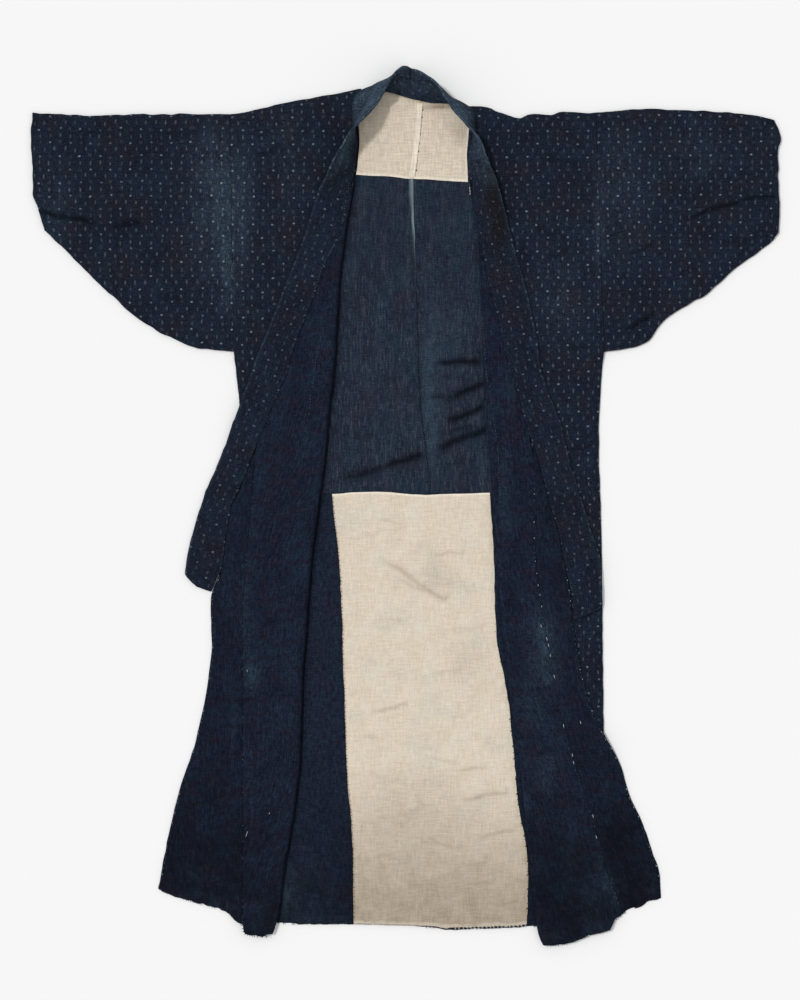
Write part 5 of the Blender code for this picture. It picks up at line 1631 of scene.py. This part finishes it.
class NORAGI_OT_band(bpy.types.Operator):
    """Makes the collar band: flat on both fronts and standing up round the neck"""

    bl_idname = "noragi.band"
    bl_label = "Collar band"

    def execute(self, context):
        sections, run = band_sections(millimetres("step"))
        share = spread(BAND_WIDTH, 18)
        points = band_points(sections, share)
        x, y = xy_of(points)
        lying = 1 - sections[:, 6:7]
        edge = np.minimum(np.minimum(run, run[-1] - run)[:, None], (1 - share) * BAND_WIDTH)
        ridge, painted_shade = crease_field(x, y, CREASES_BAND)
        fine = wrinkles(run[:, None] + 0 * x, share * BAND_WIDTH + 0 * x, 0.3, 0.5, 181)
        points[:, :, 2] += lying * (puff(points, 1.0) + ease((edge - 1) / 5) * (fine + ridge))
        points[:, :, 2] += lying * puckers(run[:, None], share * BAND_WIDTH, 31) * 0.8
        flat = np.stack(np.broadcast_arrays(share[None, :] * BAND_WIDTH, run[:, None]), axis=2)
        at_neck = ease((y - 480) / 130)
        inner_face = np.exp(-(((x - 22) / 34) ** 2)) * ease((y - 600) / 40)
        rim = np.exp(-((1 - share) * BAND_WIDTH / 1.6)) + 0 * x
        worn = np.clip(0.45 * rim + at_neck * (0.36 + 0.8 * share) * (1 - 0.5 * inner_face), 0, 1)
        # Painted shade on the creases' steep sides and in a shaded spot at the neck
        marks = {"fade": spots(x, y, FADED_SHELL), "worn": worn, "stain": spots(x, y, STAINED_BAND),
                 "painted_shade": np.maximum(painted_shade, spots(x, y, SHADED_BAND))}
        piece = wall("cloth_collar", points, flat, rounded(edge, BAND), material("band"), marks)
        unsewn["band"] = piece, flat
        return {"FINISHED"}


def hem_line(hand):
    """The whole hem that shows on one side, from left to right."""
    own_turned, own_overlap = turned_hem[hand], overlap_hem[hand]
    if hand == "left":
        stretches = ((-393, -262, own_overlap), (-259, -217, own_turned), (-211, -86, back_hem))
    else:
        stretches = ((197, 220, back_hem), (224, 343, own_turned), (347, 407, own_overlap))
    return [(x, float(hem(x))) for low, high, hem in stretches for x in np.linspace(low, high, 30)]


class NORAGI_OT_stitches(bpy.types.Operator):
    """Sews the linings: faded running stitches, bold pale ones and those along the free edges"""

    bl_idname = "noragi.stitches"
    bl_label = "Stitches"

    def execute(self, context):
        for hand, running, seam in (("left", RUNNING_LEFT, SEAM_LEFT), ("right", RUNNING_RIGHT, SEAM_RIGHT)):
            top = [bpy.data.objects[f"{kind}_{hand}"] for kind in ("lining_front", "lining_overlap")]
            rows = np.linspace(-110, -605, 60)
            free_edge = np.stack([overlap[hand](rows) - outward[hand] * 2.6, rows], axis=1)
            ends = along_line(running, 4.8, 2.4, 61, 0.25) + along_line(seam, 8.5, 2.4, 62, 0.6)
            ends += along_line(free_edge, 9.0, 2.2, 63, 0.3)
            sew(f"stitches_faded_{hand}", ends, top, 0.4, material("blue_thread"))
            ends = along_line(free_edge + [0.8 * outward[hand], 0], 17.0, 2.0, 64, 0.25)
            ends += FAINT_LEFT if hand == "left" else [*BOLD_RIGHT, *along_line(SEAM_RIGHT[:6], 9.0, 2.4, 65, 0.45)]
            sew(f"stitches_pale_{hand}", ends, top, 0.5 if hand == "right" else 0.4, material("pale_thread"))
            shared = [bpy.data.objects[f"lining_back_{hand}"], *top]
            sew(f"stitches_hem_{hand}", over_edge(hem_line(hand), 4.4, 3.4, 1.3, 1.2, 66), shared, 0.55,
                material("hem_thread"))
            piece, flat = unsewn[hand]
            declare(piece, f"front_lining_{hand}", flat)
        band_seam = [(float(band_foot(y, "left")) - 3.0, y) for y in np.linspace(518, 300, 40)]
        collar, flat = unsewn["band"]
        sew("stitches_collar", along_line(band_seam, 4.8, 2.3, 67, 0.22, 0.3), [collar], 0.4, material("blue_thread"))
        declare(collar, "collar", flat)
        return {"FINISHED"}


class NORAGI_OT_stage(bpy.types.Operator):
    """Makes the pale floor, the light from the left, the soft room and the camera straight above"""

    bl_idname = "noragi.stage"
    bl_label = "Stage"

    def execute(self, context):
        colours, sizes = settings()
        mesh = bpy.data.meshes.new("floor")
        corners = ((-1, -1), (1, -1), (1, 1), (-1, 1))
        mesh.from_pydata([(x * FLOOR_REACH, y * FLOOR_REACH, FLOOR_HEIGHT) for x, y in corners], [], [(0, 1, 2, 3)])
        floor = add_object("floor", mesh)
        mesh.materials.append(one_colour("floor_paper", colours.floor, 0.95, 0.1))
        key = bpy.data.lights.new("key_light", "SUN")
        key.energy = sizes.key_strength
        key.angle = sizes.key_angle
        add_object("key_light", key).rotation_euler = Vector(SUN_FROM).to_track_quat("Z", "Y").to_euler()
        world = bpy.data.worlds.new("soft_room")
        world.use_nodes = True
        background = world.node_tree.nodes["Background"]
        background.inputs["Color"].default_value = (1, 1, 1, 1)
        background.inputs["Strength"].default_value = sizes.fill_strength
        context.scene.world = world
        context.scene.view_settings.view_transform = "Standard"
        lens = bpy.data.cameras.new("camera")
        lens.lens = LENS
        lens.sensor_width = SENSOR
        camera = add_object("camera", lens)
        camera.location = (*CAMERA_AT, sizes.camera_height)
        context.scene.camera = camera
        return {"FINISHED"}


OPERATORS = (NORAGI_OT_back, NORAGI_OT_back_lining, NORAGI_OT_patches, NORAGI_OT_fronts, NORAGI_OT_overlaps,
             NORAGI_OT_sleeves, NORAGI_OT_band, NORAGI_OT_stitches, NORAGI_OT_stage)


class NORAGI_PT_panel(bpy.types.Panel):
    """Lists the pieces of the jacket and its settings"""

    bl_idname = "NORAGI_PT_panel"
    bl_label = "Noragi jacket"
    bl_space_type = "VIEW_3D"
    bl_region_type = "UI"
    bl_category = "Noragi"

    def draw(self, context):
        for operator in OPERATORS:
            self.layout.operator(operator.bl_idname)
        for group in (context.scene.noragi_sizes, context.scene.noragi_colours):
            box = self.layout.box()
            for name in group.__annotations__:
                box.prop(group, name)


CLASSES = (NoragiColours, NoragiSizes, *OPERATORS, NORAGI_PT_panel)


def register():
    for item in CLASSES:
        bpy.utils.register_class(item)
    bpy.types.Scene.noragi_colours = bpy.props.PointerProperty(type=NoragiColours)
    bpy.types.Scene.noragi_sizes = bpy.props.PointerProperty(type=NoragiSizes)


def unregister():
    del bpy.types.Scene.noragi_sizes
    del bpy.types.Scene.noragi_colours
    for item in reversed(CLASSES):
        bpy.utils.unregister_class(item)


def main():
    register()
    for make in (bpy.ops.noragi.back, bpy.ops.noragi.back_lining, bpy.ops.noragi.patches, bpy.ops.noragi.fronts,
                 bpy.ops.noragi.overlaps, bpy.ops.noragi.sleeves, bpy.ops.noragi.band, bpy.ops.noragi.stitches,
                 bpy.ops.noragi.stage):
        make()


if __name__ == "__main__":
    main()
